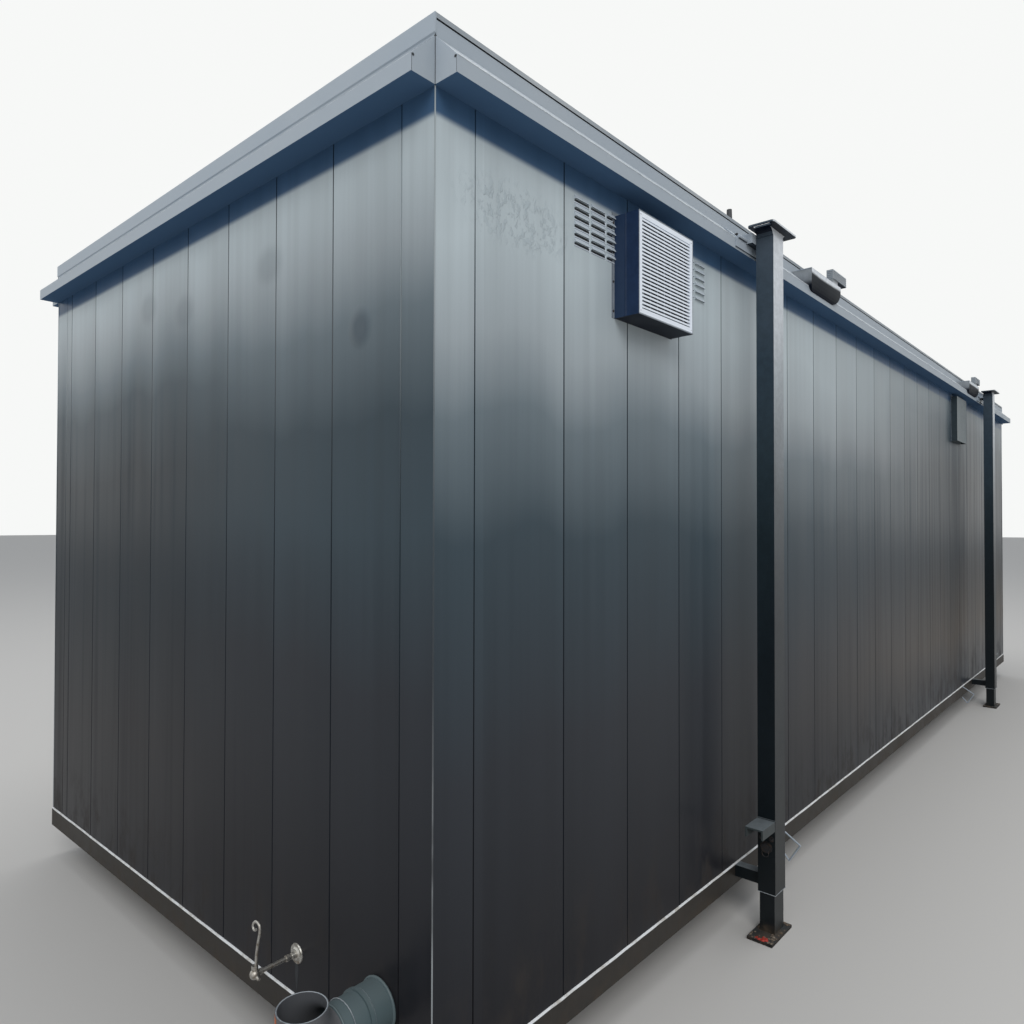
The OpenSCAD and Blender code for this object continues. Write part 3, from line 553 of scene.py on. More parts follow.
def board():
    f = Finish("resin_floor_board")
    flakes = f.noise(30, stretch=(1, 4, 1), detail=5)
    base = f.mix(f.ramp(flakes, 0.35, 0.65), (0.16, 0.11, 0.065), (0.27, 0.20, 0.12))
    f.set(Base_Color=base, Roughness=f.ramp(flakes, 0.3, 0.7, 0.6, 0.8), Normal=f.bump(flakes, 0.2, 0.001))
    return f.material


dark_steel = plain_finish("oiled_dark_steel", (0.030, 0.032, 0.036), (0.070, 0.045, 0.030), 0.35, metal=0.6)
tap_metal = plain_finish("tarnished_tap_metal", (0.52, 0.51, 0.48), (0.20, 0.16, 0.12), 0.22, metal=0.9)
sealant = plain_finish("white_sealant", (0.78, 0.79, 0.79), (0.46, 0.43, 0.38), 0.45, grain=25)
pale_rim = plain_finish("rubbed_edge_paint", (0.34, 0.37, 0.39), (0.12, 0.14, 0.16), 0.35, grain=30)
# A pale paint for the lip hems: a painted highlight.
hem_highlight = plain_finish("painted_hem_highlight", (0.62, 0.66, 0.69), (0.34, 0.38, 0.42), 0.35, grain=22)
# A dark finish for joints and stains, and for plates that stand for shade: painted shade.
shadow_joint = plain_finish("dark_joint_and_painted_shade", (0.012, 0.015, 0.019), (0.03, 0.033, 0.037), 0.6)
dried_mud = plain_finish("dried_mud", (0.115, 0.082, 0.056), (0.26, 0.22, 0.17), 0.85, grain=90)
red_marking = plain_finish("red_marking_paint", (0.42, 0.030, 0.018), (0.20, 0.05, 0.03), 0.5, grain=70)
orange_marking = plain_finish("orange_marking_paint", (0.55, 0.13, 0.025), (0.30, 0.09, 0.04), 0.5, grain=70)
fold_paint = folded_corner()
deck_board = board()
print("small finishes ready")

# %% [markdown]
# ## Dress the solids
# Each solid keeps its shape and its place and only gets its finish.

# %% Finishes on the solids
finish_of = {
    "walls": (slate, ["front_wall", "rear_wall", "left_end_wall", "right_end_wall", "corner_posts"]),
    "eaves": (eave_paint, ["front_eave", "rear_eave", "left_eave", "right_eave", "fascia"]),
    "strip": (strip_mastic, ["roof_edge_strip"]),
    "roof": (roof_paint, ["roof_deck"]),
    "frame": (frame_paint, ["front_rail", "rear_rail", "left_end_rail", "right_end_rail", "floor_joists"]),
    "brackets": (bracket_paint, ["head_brackets"]),
    "lifting": (lift_paint, ["lifting_brackets"]),
    "legs": (leg_paint, ["leg_caps", "lower_outriggers"]
             + [f"{part}_leg_{i}" for part in ("outer", "inner") for i in range(1, 5)]),
    "jacks": (jack_paint, ["jacking_brackets"]),
    "feet": (foot_paint, [f"foot_plate_{i}" for i in range(1, 5)]),
    "vents": (vent_paint, ["fan_hood"]),
    "small vent": (small_hood_paint, ["small_vent_hood"]),
    "louvres": (louvre_paint, ["wall_louvre"]),
    "grille": (grille_paint, ["fan_grille"]),
    "drain": (drain_grey, ["soil_pipe"]),
    "bend": (pipe_grey, ["soil_elbow"]),
    "roof vent": (dark_plastic, ["roof_vent"]),
    "pins": (dark_steel, ["lock_pins"]),
    "water": (tap_metal, ["water_inlet"]),
    "deck": (deck_board, ["floor_deck"]),
}
dressed = 0
for finish, names in finish_of.values():
    for name in names:
        solid = frame["nodes"][name]
        solid.data.materials.clear()
        solid.data.materials.append(finish)
        dressed += 1
print("dressed", dressed, "of", len(frame["nodes"]), "solids")

# %% [markdown]
# ## Tools for small pieces
# Bolts, beads and plates are all made from a few bmesh shapes. A box is given by two
# corners, a rod by its two ends. Because places are given as points, the same function
# builds a piece on all four legs, and no mirrored shape is ever turned inside out.

# %% Box, rod, bead and piece
def add_box(bm, corner, opposite):
    low = Vector([min(a, b) for a, b in zip(corner, opposite)])
    high = Vector([max(a, b) for a, b in zip(corner, opposite)])
    place = Matrix.Translation((low + high) / 2) @ Matrix.Diagonal((*(high - low), 1))
    return bmesh.ops.create_cube(bm, size=1, matrix=place)["verts"]


def add_rod(bm, start, end, radius, sides=16, radius_end=None):
    start, end = Vector(start), Vector(end)
    turn = (end - start).to_track_quat("Z", "Y").to_matrix().to_4x4()
    place = Matrix.Translation((start + end) / 2) @ turn
    radius_end = radius if radius_end is None else radius_end
    return bmesh.ops.create_cone(bm, cap_ends=True, segments=sides, radius1=radius, radius2=radius_end,
                                 depth=(end - start).length, matrix=place)["verts"]


def add_bead(bm, start, end, radius, wobble=0.0006, sides=8, pitch=0.05):
    """A round bead drawn out in short steps and wandering a little, as sealant and weld do."""
    start, along = Vector(start), Vector(end) - Vector(start)
    turn = along.to_track_quat("Z", "Y").to_matrix().to_4x4()
    old = set(bm.verts)
    ring = bmesh.ops.create_circle(bm, segments=sides, radius=radius, matrix=Matrix.Translation(start) @ turn)["verts"]
    steps = max(2, int(along.length / pitch))
    geom = ring + list({e for v in ring for e in v.link_edges})
    bmesh.ops.spin(bm, geom=geom, cent=start, axis=along, dvec=along / steps, angle=0, steps=steps)
    made = [v for v in bm.verts if v not in old]
    bmesh.ops.holes_fill(bm, edges=list({e for v in made for e in v.link_edges if e.is_boundary}))
    bmesh.ops.recalc_face_normals(bm, faces=list({f for v in made for f in v.link_faces}))
    along.normalize()
    for v in made:
        shake = noise.noise_vector(v.co * 28) * wobble
        v.co += shake - shake.dot(along) * along
    return made


def make_piece(name, bm, finish, body="cabin", smooth=True, bevel=None):
    if bevel:
        sharp = [e for e in bm.edges if e.is_manifold and e.calc_face_angle(0) > math.radians(30)]
        bmesh.ops.bevel(bm, geom=sharp, offset=bevel, affect="EDGES", segments=2, profile=0.5, material=-1)
    mesh = bpy.data.meshes.new(name)
    bm.to_mesh(mesh)
    bm.free()
    if smooth:
        for face in mesh.polygons:
            face.use_smooth = True
        mesh.set_sharp_from_angle(angle=math.radians(35))
    mesh.materials.append(finish)
    piece = bpy.data.objects.new(name, mesh)
    bpy.context.collection.objects.link(piece)
    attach(piece, body)
    return piece


print("piece tools ready")

# %% [markdown]
# ## Sealant along the floor
# A line of white sealant closes the joint between the cladding and the base rail all round
# the cabin. It is squeezed by hand, so it is a thin bead that wanders by half a millimetre.

# %% Floor sealant
def floor_sealant():
    bm = bmesh.new()
    out, radius = 0.6 * MM, 4.2 * MM
    z = floor_edge + 1.0 * MM
    corners = [(left_x - out, front_y - out, z), (right_x + out, front_y - out, z),
               (right_x + out, rear_y + out, z), (left_x - out, rear_y + out, z)]
    for start, end in zip(corners, corners[1:] + corners[:1]):
        add_bead(bm, start, end, radius, wobble=0.0008)
    return make_piece("floor_sealant", bm, sealant)


print("floor sealant", len(floor_sealant().data.polygons), "faces")

# %% [markdown]
# ## Folded corners and hems
# The corner sheets are folded round the arris, and the fold shows a pale line low down. The
# lip of the eaves ends in a small rolled hem, painted pale as a painted highlight. The fascia sheets meet
# at the corners in a dark joint, a dark line of joint and painted shade runs down each lip end,
# and a small relief hole ends each lip.

# %% Corner folds, hems, joints and relief holes
def corner_folds():
    bm = bmesh.new()
    for x in (left_x, right_x):
        for y in (front_y, rear_y):
            add_bead(bm, (x, y, floor_edge), (x, y, lip_low), 1.7 * MM, wobble=0.0003, pitch=0.1)
    return make_piece("corner_folds", bm, fold_paint)


def lip_hems():
    bm = bmesh.new()
    end_low, end_high = span("left_eave")
    other_low, other_high = span("right_eave")
    rear_low, rear_high = span("rear_eave")
    z, inset = lip_low + 39 * MM, 0.6 * MM
    for y in (eave_low.y + inset, rear_high.y - inset):
        add_bead(bm, (left_x, y, z), (right_x, y, z), 1.8 * MM, wobble=0.0002, pitch=0.12)
    for x in (end_low.x + 1.7 * MM, other_high.x - 1.7 * MM):
        add_bead(bm, (x, front_y, z + MM), (x, rear_y, z + MM), 1.3 * MM, wobble=0.0002, pitch=0.12)
    return make_piece("lip_hems", bm, hem_highlight)


def corner_joints():
    bm = bmesh.new()
    strip_low, strip_high = span("roof_edge_strip")
    fascia_low, fascia_high = span("fascia")
    width, depth = 0.6 * MM, 0.3 * MM
    for sx, x in ((-1, left_x), (1, right_x)):
        for sy, y in ((-1, front_y), (1, rear_y)):
            edge_x, edge_y = x + sx * 3 * MM, y + sy * 3 * MM
            add_box(bm, (edge_x + sx * depth, edge_y + sy * depth, fascia_low.z), (edge_x - sx * width, edge_y - sy * width, strip_low.z))
            add_box(bm, (x + sx * 4 * MM, y + sy * 4 * MM, lip_low), (x, y, fascia_low.z + 2 * MM))
            # A dark line down each lip end: a joint, with painted shade along the edge.
            hem_x, hem_y = x + sx * (lip_out - 1.2 * MM), y + sy * (lip_out - 1.2 * MM)
            add_box(bm, (hem_x, y + sy * 3.4 * MM, lip_low + MM), (hem_x - sx * width, y, lip_low + 38 * MM))
            add_box(bm, (x + sx * 3.4 * MM, hem_y, lip_low + MM), (x, hem_y - sy * width, lip_low + 38 * MM))
            for end, side in (((x + sx * (lip_out - 5 * MM), y + sy * 0.4 * MM), "x"), ((x + sx * 0.4 * MM, y + sy * (lip_out - 5 * MM)), "y")):
                centre = Vector((*end, lip_low + 36 * MM))
                axis = Vector((0, sy, 0)) if side == "x" else Vector((sx, 0, 0))
                add_rod(bm, centre, centre + axis * 3.5 * MM, 3.2 * MM, 14)
    return make_piece("corner_joints", bm, shadow_joint)


def eave_end_plates():
    """Closing plates on the ends of the eaves boxes, flush with the fascia."""
    bm = bmesh.new()
    fascia_low, fascia_high = span("fascia")
    thick, top = 3 * MM, fascia_low.z + 3 * MM
    profile = ((0, lip_low), (lip_out, lip_low), (lip_out, lip_low + 39 * MM), (0, top))
    for sx, x in ((-1, left_x), (1, right_x)):
        for sy, y in ((-1, front_y), (1, rear_y)):
            along_x = [(x + sx * out, y, z) for out, z in profile]
            along_y = [(x, y + sy * out, z) for out, z in profile]
            for corners, push in ((along_x, (0, sy * thick, 0)), (along_y, (sx * thick, 0, 0))):
                face = bm.faces.new([bm.verts.new(c) for c in corners])
                raised = bmesh.ops.extrude_face_region(bm, geom=[face])["geom"]
                bmesh.ops.translate(bm, vec=push, verts=[v for v in raised if isinstance(v, bmesh.types.BMVert)])
    bmesh.ops.recalc_face_normals(bm, faces=bm.faces)
    return make_piece("eave_end_plates", bm, eave_paint, smooth=False)


def end_flashings():
    """Folded flashings that cover fascia and strip on both ends."""
    bm = bmesh.new()
    strip_low, strip_high = span("roof_edge_strip")
    fascia_low, fascia_high = span("fascia")
    outline = ((2, fascia_low.z + 4 * MM), (6, fascia_low.z + 8 * MM), (6, strip_high.z), (2, strip_high.z))
    for sx, x in ((-1, left_x), (1, right_x)):
        corners = [(x + sx * out * MM, front_y - 5.4 * MM, z) for out, z in outline]
        face = bm.faces.new([bm.verts.new(c) for c in corners])
        raised = bmesh.ops.extrude_face_region(bm, geom=[face])["geom"]
        bmesh.ops.translate(bm, vec=(0, rear_y - front_y + 10.8 * MM, 0), verts=[v for v in raised if isinstance(v, bmesh.types.BMVert)])
    bmesh.ops.recalc_face_normals(bm, faces=bm.faces)
    return make_piece("end_flashings", bm, eave_paint, smooth=False)


for made in (corner_folds(), lip_hems(), corner_joints(), eave_end_plates(), end_flashings()):
    print(made.name, len(made.data.polygons), "faces")

# %% [markdown]
# ## Places on a leg
# Every leg carries the same fittings. A place on a leg is given by three lengths: towards
# the cabin's end, outwards from the wall, and up. Nuts are six-sided rods on a washer.

# %% Leg places and fasteners
def on_leg(leg, towards_end, outwards, up):
    number, x, y, sx, sy = leg
    return Vector((x + sx * towards_end, y + sy * outwards, up))


def add_bolt(bm, seat, axis, size):
    """A hexagon head on a washer, seated at a point and standing along an axis."""
    seat, axis = Vector(seat), Vector(axis).normalized()
    add_rod(bm, seat, seat + axis * size * 0.22, size * 1.15, 20)
    add_rod(bm, seat + axis * size * 0.22, seat + axis * size * 0.95, size * 0.86, 6)
    add_rod(bm, seat + axis * size * 0.95, seat + axis * size * 1.35, size * 0.42, 12)


def add_ring(bm, centre, axis, radius, wire):
    """A ring of round wire, spun from one small circle."""
    centre, axis = Vector(centre), Vector(axis).normalized()
    side = axis.orthogonal().normalized()
    turn = axis.cross(side).to_track_quat("Z", "Y").to_matrix().to_4x4()
    old = set(bm.verts)
    ring = bmesh.ops.create_circle(bm, segments=8, radius=wire, matrix=Matrix.Translation(centre + side * radius) @ turn)["verts"]
    geom = ring + list({e for v in ring for e in v.link_edges})
    bmesh.ops.spin(bm, geom=geom, cent=centre, axis=axis, angle=math.tau, steps=28, use_merge=True)
    made = [v for v in bm.verts if v not in old]
    bmesh.ops.recalc_face_normals(bm, faces=list({f for v in made for f in v.link_faces}))


def add_plate(bm, corners, push):
    """A flat plate: its outline as points, and the vector that gives it thickness."""
    face = bm.faces.new([bm.verts.new(c) for c in corners])
    raised = bmesh.ops.extrude_face_region(bm, geom=[face])["geom"]
    moved = [v for v in raised if isinstance(v, bmesh.types.BMVert)]
    bmesh.ops.translate(bm, vec=push, verts=moved)
    bmesh.ops.recalc_face_normals(bm, faces=list({f for v in moved for f in v.link_faces} | {face}))


print("leg places ready for", len(legs), "legs")

# %% [markdown]
# ## Fittings on the legs
# The jacking channel and the cap are welded on, so they get weld beads. The lock pin has a
# washer and a hanging keeper ring. A pale rim marks the lower end of the outer leg.

# %% Welds, keepers and rims on the legs
jack_low, jack_high = span("jacking_brackets")
pin_low, pin_high = span("lock_pins")
saddle_low, saddle_high = span("head_brackets")
pin_up = (pin_low.z + pin_high.z) / 2


def leg_welds():
    bm = bmesh.new()
    for leg in legs:
        face = leg_half_x + 0.4 * MM
        for side in (-1, 1):
            edge = side * (leg_half_y - 1.5 * MM)
            add_bead(bm, on_leg(leg, face, edge, jack_low.z), on_leg(leg, face, edge, jack_high.z), 2.6 * MM, pitch=0.006)
            add_bead(bm, on_leg(leg, side * leg_half_x, -leg_half_y, leg_top), on_leg(leg, side * leg_half_x, leg_half_y, leg_top), 2.4 * MM, pitch=0.006)
        add_bead(bm, on_leg(leg, face, -leg_half_y, jack_high.z), on_leg(leg, face, leg_half_y, jack_high.z), 2.8 * MM, pitch=0.006)
        wall_side = -leg_half_y - 0.4 * MM
        for up in (-20 * MM, 20 * MM):
            add_bead(bm, on_leg(leg, -20 * MM, wall_side, floor_edge + up), on_leg(leg, 20 * MM, wall_side, floor_edge + up), 2.4 * MM, pitch=0.006)
    return make_piece("leg_welds", bm, leg_paint)


def pin_keepers():
    bm = bmesh.new()
    for leg in legs:
        end_way = Vector((leg[3], 0, 0))
        face = on_leg(leg, leg_half_x, 0, pin_up)
        add_rod(bm, face, face + end_way * 2.5 * MM, 21 * MM, 24)
        add_ring(bm, on_leg(leg, leg_half_x + 11 * MM, 0, pin_up - 18 * MM), end_way, 12 * MM, 1.6 * MM)
        add_rod(bm, on_leg(leg, leg_half_x + 11 * MM, 0, pin_up - 14 * MM), on_leg(leg, leg_half_x + 11 * MM, 0, pin_up + 18 * MM), 2.4 * MM, 10)
        for side in (-1, 1):
            add_bolt(bm, on_leg(leg, leg_half_x, side * 19 * MM, pin_up + 32 * MM), end_way, 8 * MM)
    return make_piece("pin_keepers", bm, dark_steel)


def sleeve_rims():
    bm = bmesh.new()
    proud, tall = 0.6 * MM, 2.2 * MM
    for leg in legs:
        for side in (-1, 1):
            add_box(bm, on_leg(leg, -leg_half_x - proud, side * leg_half_y, leg_foot), on_leg(leg, leg_half_x + proud, side * (leg_half_y + proud), leg_foot + tall))
            add_box(bm, on_leg(leg, side * leg_half_x, -leg_half_y, leg_foot), on_leg(leg, side * (leg_half_x + proud), leg_half_y, leg_foot + tall))
    return make_piece("sleeve_rims", bm, pale_rim)


for made in (leg_welds(), pin_keepers(), sleeve_rims()):
    print(made.name, len(made.data.polygons), "faces")

# %% [markdown]
# ## Head brackets
# A folded saddle sits on the eaves and a short bracket ties it to the leg. Round bar stiffens
# the fold, and four bolts go through the slope. Bolts on a slope stand at 45 degrees.

# %% Bars and bolts of the head brackets
def head_bars():
    bm = bmesh.new()
    fold_up, fold_out = lip_low + 46 * MM, lip_out + 6 * MM
    for leg in legs:
        wall_to_leg = abs(leg[2]) - abs(front_y)
        out = fold_out - wall_to_leg
        for start, end in ((-140, -46), (46, 140)):
            add_rod(bm, on_leg(leg, start * MM, out, fold_up), on_leg(leg, end * MM, out, fold_up), 6.5 * MM, 14)
    return make_piece("head_bars", bm, bracket_paint, bevel=0.0015)


def head_bolts():
    bm = bmesh.new()
    for leg in legs:
        wall_to_leg = abs(leg[2]) - abs(front_y)
        slope = Vector((0, leg[4], 1))
        for along in (-105, -75, 75, 105):
            seat = on_leg(leg, along * MM, 52 * MM - wall_to_leg, saddle_high.z - 18 * MM)
            seat.z = lip_low + 39 * MM + lip_out - 52 * MM + 6 * MM
            add_bolt(bm, seat, slope, 7 * MM)
    return make_piece("head_bolts", bm, dark_steel)


for made in (head_bars(), head_bolts()):
    print(made.name, len(made.data.polygons), "faces")

# %% [markdown]
# ## Ribs on the lifting hooks
# The front of each hook block carries small horizontal ribs, and a thin pale end plate
# closes the shelf. Both are plain boxes, repeated at the four brackets.

# %% Hook ribs and end plates
lift_low, lift_high = span("lifting_brackets")
leg_span = abs(legs[0][1])
bracket_starts = (legs[0][1] + 530 * MM, legs[1][1] - 540 * MM)


def hook_ribs():
    bm = bmesh.new()
    for sy, wall in ((-1, front_y), (1, rear_y)):
        for start in bracket_starts:
            for k in range(5):
                z = lift_high.z - (5 + 8.4 * k) * MM
                add_box(bm, (start + 302 * MM, wall + sy * 80 * MM, z), (start + 474 * MM, wall + sy * 82 * MM, z - 3.2 * MM))
                add_box(bm, (start + 298 * MM, wall + sy * 53 * MM, z), (start + 300 * MM, wall + sy * 79 * MM, z - 3.2 * MM))
            add_box(bm, (start - 1.5 * MM, wall + sy * 30 * MM, lift_high.z - 76 * MM), (start, wall + sy * 92 * MM, lift_high.z - 73 * MM))
    return make_piece("hook_ribs", bm, bracket_paint, smooth=False)


print("hook ribs", len(hook_ribs().data.polygons), "faces")

# %% [markdown]
# ## Grille, louvre slots and hood trim
# The grille is what shows most on the long wall. Each blade has an upright pale nose and a
# leaf that slopes back and up, with thin wires behind. The new grille takes the place of
# the plain one. A dark plate behind it is painted shade inside the hood. The louvres get dark
# plates for their slots, painted shade, and the hood its wall flange and screws.

# %% Fan grille
hood_low, hood_high = span("fan_hood")
grille_low, grille_high = span("fan_grille")


def fan_grille():
    bm = bmesh.new()
    rim, blades, wires = 14 * MM, 24, 7
    low, high = grille_low, grille_high
    front, back = low.y, high.y
    add_box(bm, (low.x, front, low.z), (low.x + rim, back, high.z))
    add_box(bm, (high.x - rim, front, low.z), (high.x, back, high.z))
    add_box(bm, (low.x + rim, front, low.z), (high.x - rim, back, low.z + rim))
    add_box(bm, (low.x + rim, front, high.z - rim), (high.x - rim, back, high.z))
    step = (high.z - low.z - 2 * rim) / blades
    for i in range(blades):
        z = low.z + rim + (i + 0.35) * step
        nose = ((low.x + rim / 2, front + 1.2 * MM, z), (low.x + rim / 2, front + 2.4 * MM, z),
                (low.x + rim / 2, back, z + 6.5 * MM), (low.x + rim / 2, back, z + 8 * MM), (low.x + rim / 2, front + 1.2 * MM, z + 5.4 * MM))
        add_plate(bm, nose, (high.x - low.x - rim, 0, 0))
    for k in range(1, wires + 1):
        x = low.x + (high.x - low.x) * k / (wires + 1)
        add_rod(bm, (x, back - 1.2 * MM, low.z + rim / 2), (x, back - 1.2 * MM, high.z - rim / 2), 1.1 * MM, 6)
    piece = make_piece("fan_grille_blades", bm, grille_paint, smooth=False)
    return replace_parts(piece, "fan_grille")


def hood_inside_shade():
    """A dark plate behind the blades: painted shade inside the hood."""
    bm = bmesh.new()
    add_box(bm, (grille_low.x, grille_high.y + 14 * MM, grille_low.z), (grille_high.x, grille_high.y + 16 * MM, grille_high.z))
    return make_piece("hood_inside_shade", bm, shadow_joint, smooth=False)


print("grille", len(fan_grille().data.polygons), "faces;", len(hood_inside_shade().data.polygons), "behind it")

# %% Louvre slots and hood trim
louvre_low, louvre_high = span("wall_louvre")
small_low, small_high = span("small_vent_hood")


# Dark plates on the wall under each louvre row: painted shade of the open slots.
def louvre_slot_shade():
    bm = bmesh.new()
    rows, step, pitch, length = 6, 23.6 * MM, 77 * MM, 62 * MM
    for column in range(3):
        x = louvre_low.x + column * pitch
        end = min(x + length, hood_low.x)
        for row in range(rows):
            z = louvre_low.z + row * step
            add_box(bm, (x + MM, front_y - 0.6 * MM, z - 0.2 * MM), (min(end + 7 * MM, hood_low.x), front_y + MM, z - 6.5 * MM))
    return make_piece("louvre_slot_shade", bm, shadow_joint, smooth=False)


def louvre_lips():
    """Bright rolled lips under the slots, and the bright webs between the columns."""
    bm = bmesh.new()
    rows, step, pitch = 6, 23.6 * MM, 77 * MM
    end = hood_low.x - MM
    for row in range(rows):
        z = louvre_low.z + row * step - 8 * MM
        for column in range(3):
            x = louvre_low.x + column * pitch
            add_rod(bm, (x, front_y - 0.4 * MM, z), (min(x + 70 * MM, end), front_y - 0.4 * MM, z), 1.5 * MM, 8)
            if column:
                add_box(bm, (x - 9 * MM, front_y - 0.9 * MM, z - 4 * MM), (x - 6 * MM, front_y + MM, z + 10 * MM))
    return make_piece("louvre_lips", bm, louvre_edge, smooth=False)


def hood_collars():
    """The rear part of a hood is a separate lighter collar against the wall, deep navy as painted shade of the hood
    side.
    """
    bm = bmesh.new()
    for x, way in ((hood_low.x, -1), (hood_high.x, 1)):
        add_box(bm, (x, front_y, hood_low.z - 0.6 * MM), (x + way * 0.9 * MM, front_y - 36 * MM, hood_high.z))
    return make_piece("hood_collars", bm, collar_paint, smooth=False)


def hood_trim():
    bm = bmesh.new()
    out, thick = 13 * MM, 1.4 * MM
    for low, high in ((hood_low, hood_high), (small_low, small_high)):
        for x, way in ((low.x, -1), (high.x, 1)):
            add_box(bm, (x, front_y, low.z), (x + way * out, front_y - thick, high.z))
        add_box(bm, (low.x - out, front_y, high.z), (high.x + out, front_y - thick, high.z + out * 0.8))
    for x, way in ((hood_low.x, -1), (hood_high.x, 1)):
        add_box(bm, (x, front_y - 38 * MM, hood_low.z), (x + way * 0.8 * MM, front_y - 40 * MM, hood_high.z))
    return make_piece("hood_trim", bm, vent_paint, smooth=False)


def hood_screws():
    bm = bmesh.new()
    for low, high in ((hood_low, hood_high), (small_low, small_high)):
        for x in (low.x - 7 * MM, high.x + 7 * MM):
            for k in range(4):
                z = low.z + 20 * MM + k * (high.z - low.z - 40 * MM) / 3
                add_rod(bm, (x, front_y - MM, z), (x, front_y - 3.4 * MM, z), 4.2 * MM, 12, 2.6 * MM)
    for x in (grille_low.x + 7 * MM, grille_high.x - 7 * MM):
        for z in (grille_low.z + 7 * MM, grille_high.z - 7 * MM):
            add_rod(bm, (x, grille_low.y + 0.4 * MM, z), (x, grille_low.y, z), 3.4 * MM, 12, 2.4 * MM)
    return make_piece("hood_screws", bm, dark_steel)


for made in (louvre_slot_shade(), louvre_lips(), hood_collars(), hood_trim(), hood_screws()):
    print(made.name, len(made.data.polygons), "faces")

# %% [markdown]
# ## Water inlet
# A chrome rose on the wall, a thin pipe to a small valve, and a tube that ends in an open
# curl. The curl is a bent tube along a few chosen points, which a curve with a round bevel
# draws at once. It becomes a mesh before it joins the turned parts.

# %% Water inlet
def add_bent_tube(bm, points, radius):
    curve = bpy.data.curves.new("tube_path", "CURVE")
    curve.dimensions, curve.bevel_depth, curve.bevel_resolution, curve.use_fill_caps = "3D", radius, 3, True
    path = curve.splines.new("NURBS")
    path.points.add(len(points) - 1)
    for point, place in zip(path.points, points):
        point.co = (*place, 1)
    path.order_u, path.use_endpoint_u = 4, True
    holder = bpy.data.objects.new("tube_path", curve)
    mesh = bpy.data.meshes.new_from_object(holder)
    bm.from_mesh(mesh)
    for block, data in ((bpy.data.objects, holder), (bpy.data.curves, curve), (bpy.data.meshes, mesh)):
        block.remove(data)


def water_tap():
    low, high = span("water_inlet")
    bm = bmesh.new()
    wall, valve_x = left_x, low.x + 13 * MM
    rose_y, rose_z = (low.y + high.y) / 2, 312 * MM
    for start, end, radius, tip in ((0, 3, 26, 25), (3, 7, 18, 14), (7, 16, 9, 8)):
        add_rod(bm, (wall - start * MM, rose_y, rose_z), (wall - end * MM, rose_y, rose_z), radius * MM, 28, tip * MM)
    add_rod(bm, (wall, rose_y, rose_z), (valve_x, rose_y, rose_z), 5.5 * MM, 14)
    for x in (wall - 24 * MM, valve_x + 20 * MM):
        add_rod(bm, (x, rose_y, rose_z), (x - 9 * MM, rose_y, rose_z), 9 * MM, 6)
    valve = Vector((valve_x, rose_y, rose_z))
    bmesh.ops.create_uvsphere(bm, u_segments=18, v_segments=12, radius=13 * MM, matrix=Matrix.Translation(valve))
    add_rod(bm, valve + Vector((0, 0, 9 * MM)), valve + Vector((0, 0, 22 * MM)), 8.5 * MM, 6)
    add_rod(bm, valve, valve + Vector((0, -20 * MM, -6 * MM)), 6 * MM, 12, 4 * MM)
    add_rod(bm, valve, valve + Vector((0, 18 * MM, -8 * MM)), 4 * MM, 12)
    tube = [(-5, 18), (-6, 45), (-12, 75), (-20, 100), (-26, 120), (-20, 132), (-6, 134), (8, 126), (11, 114), (3, 107), (-4, 112)]
    add_bent_tube(bm, [valve + Vector((0, across * MM, up * MM)) for across, up in tube], 3.6 * MM)
    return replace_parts(make_piece("water_tap", bm, tap_metal), "water_inlet")


def tap_stain():
    """A dark run of water on the wall below the rose."""
    low, high = span("water_inlet")
    y = (low.y + high.y) / 2
    bm = bmesh.new()
    outline = [(left_x, y + across * MM, up * MM) for across, up in ((-7, 290), (8, 292), (9, 262), (5, 235), (0, 208), (-4, 240), (-8, 265))]
    add_plate(bm, outline, (-0.3 * MM, 0, 0))
    return make_piece("tap_stain", bm, shadow_joint, smooth=False)


print("water tap", len(water_tap().data.polygons), "faces,", tap_stain().name)

# %% [markdown]
# ## Mud and marking paint at the feet
# Lumps of wet soil lie on the foot plates, and one plate carries a blob of red marking
# paint. Each lump is a small ico sphere, squashed and shaken. They ride on the legs, so
# they move with the plates when a leg slides.

# %% Mud on the feet
def foot_mud(leg):
    number, x, y, sx, sy = leg
    low, high = span(f"foot_plate_{number}")
    bm = bmesh.new()
    for lump in range(64):
        size = random.uniform(2, 6) * MM
        along, across = random.betavariate(0.5, 0.5), random.betavariate(0.5, 0.5)
        place = Vector((low.x + size + along * (high.x - low.x - 2 * size), low.y + size + across * (high.y - low.y - 2 * size), high.z))
        inside = abs(place.x - x) < leg_half_x and abs(place.y - y) < leg_half_y
        if inside:
            continue
        squash = Matrix.Diagonal((random.uniform(0.8, 1.3), random.uniform(0.8, 1.3), random.uniform(0.4, 0.8), 1))
        made = bmesh.ops.create_icosphere(bm, subdivisions=1, radius=size, matrix=Matrix.Translation(place) @ squash)["verts"]
        for v in made:
            v.co += noise.noise_vector(v.co * 300) * size * 0.35
            v.co.x = min(max(v.co.x, low.x + MM), high.x - MM)
            v.co.y = min(max(v.co.y, low.y + MM), high.y - MM)
            v.co.z = max(v.co.z, high.z - 2 * MM)
    return make_piece(f"foot_mud_{number}", bm, dried_mud, body=f"leg_{number}")


def marking_blob():
    leg = legs[0]
    low, high = span("foot_plate_1")
    bm = bmesh.new()
    for across, along, size in ((-4, 28, 11), (4, 20, 10), (-6, 40, 8), (10, 30, 9), (0, 52, 7)):
        place = Vector((low.x + (across + 12) * MM, low.y + (along + 8) * MM, high.z))
        made = bmesh.ops.create_icosphere(bm, subdivisions=2, radius=size * MM, matrix=Matrix.Translation(place) @ Matrix.Diagonal((1, 0.8, 0.45, 1)))["verts"]
        for v in made:
            v.co += noise.noise_vector(v.co * 260) * 3 * MM
            v.co.x, v.co.y, v.co.z = max(v.co.x, low.x + MM), max(v.co.y, low.y + MM), max(v.co.z, high.z - 2 * MM)
    return make_piece("marking_blob", bm, red_marking, body="leg_1")


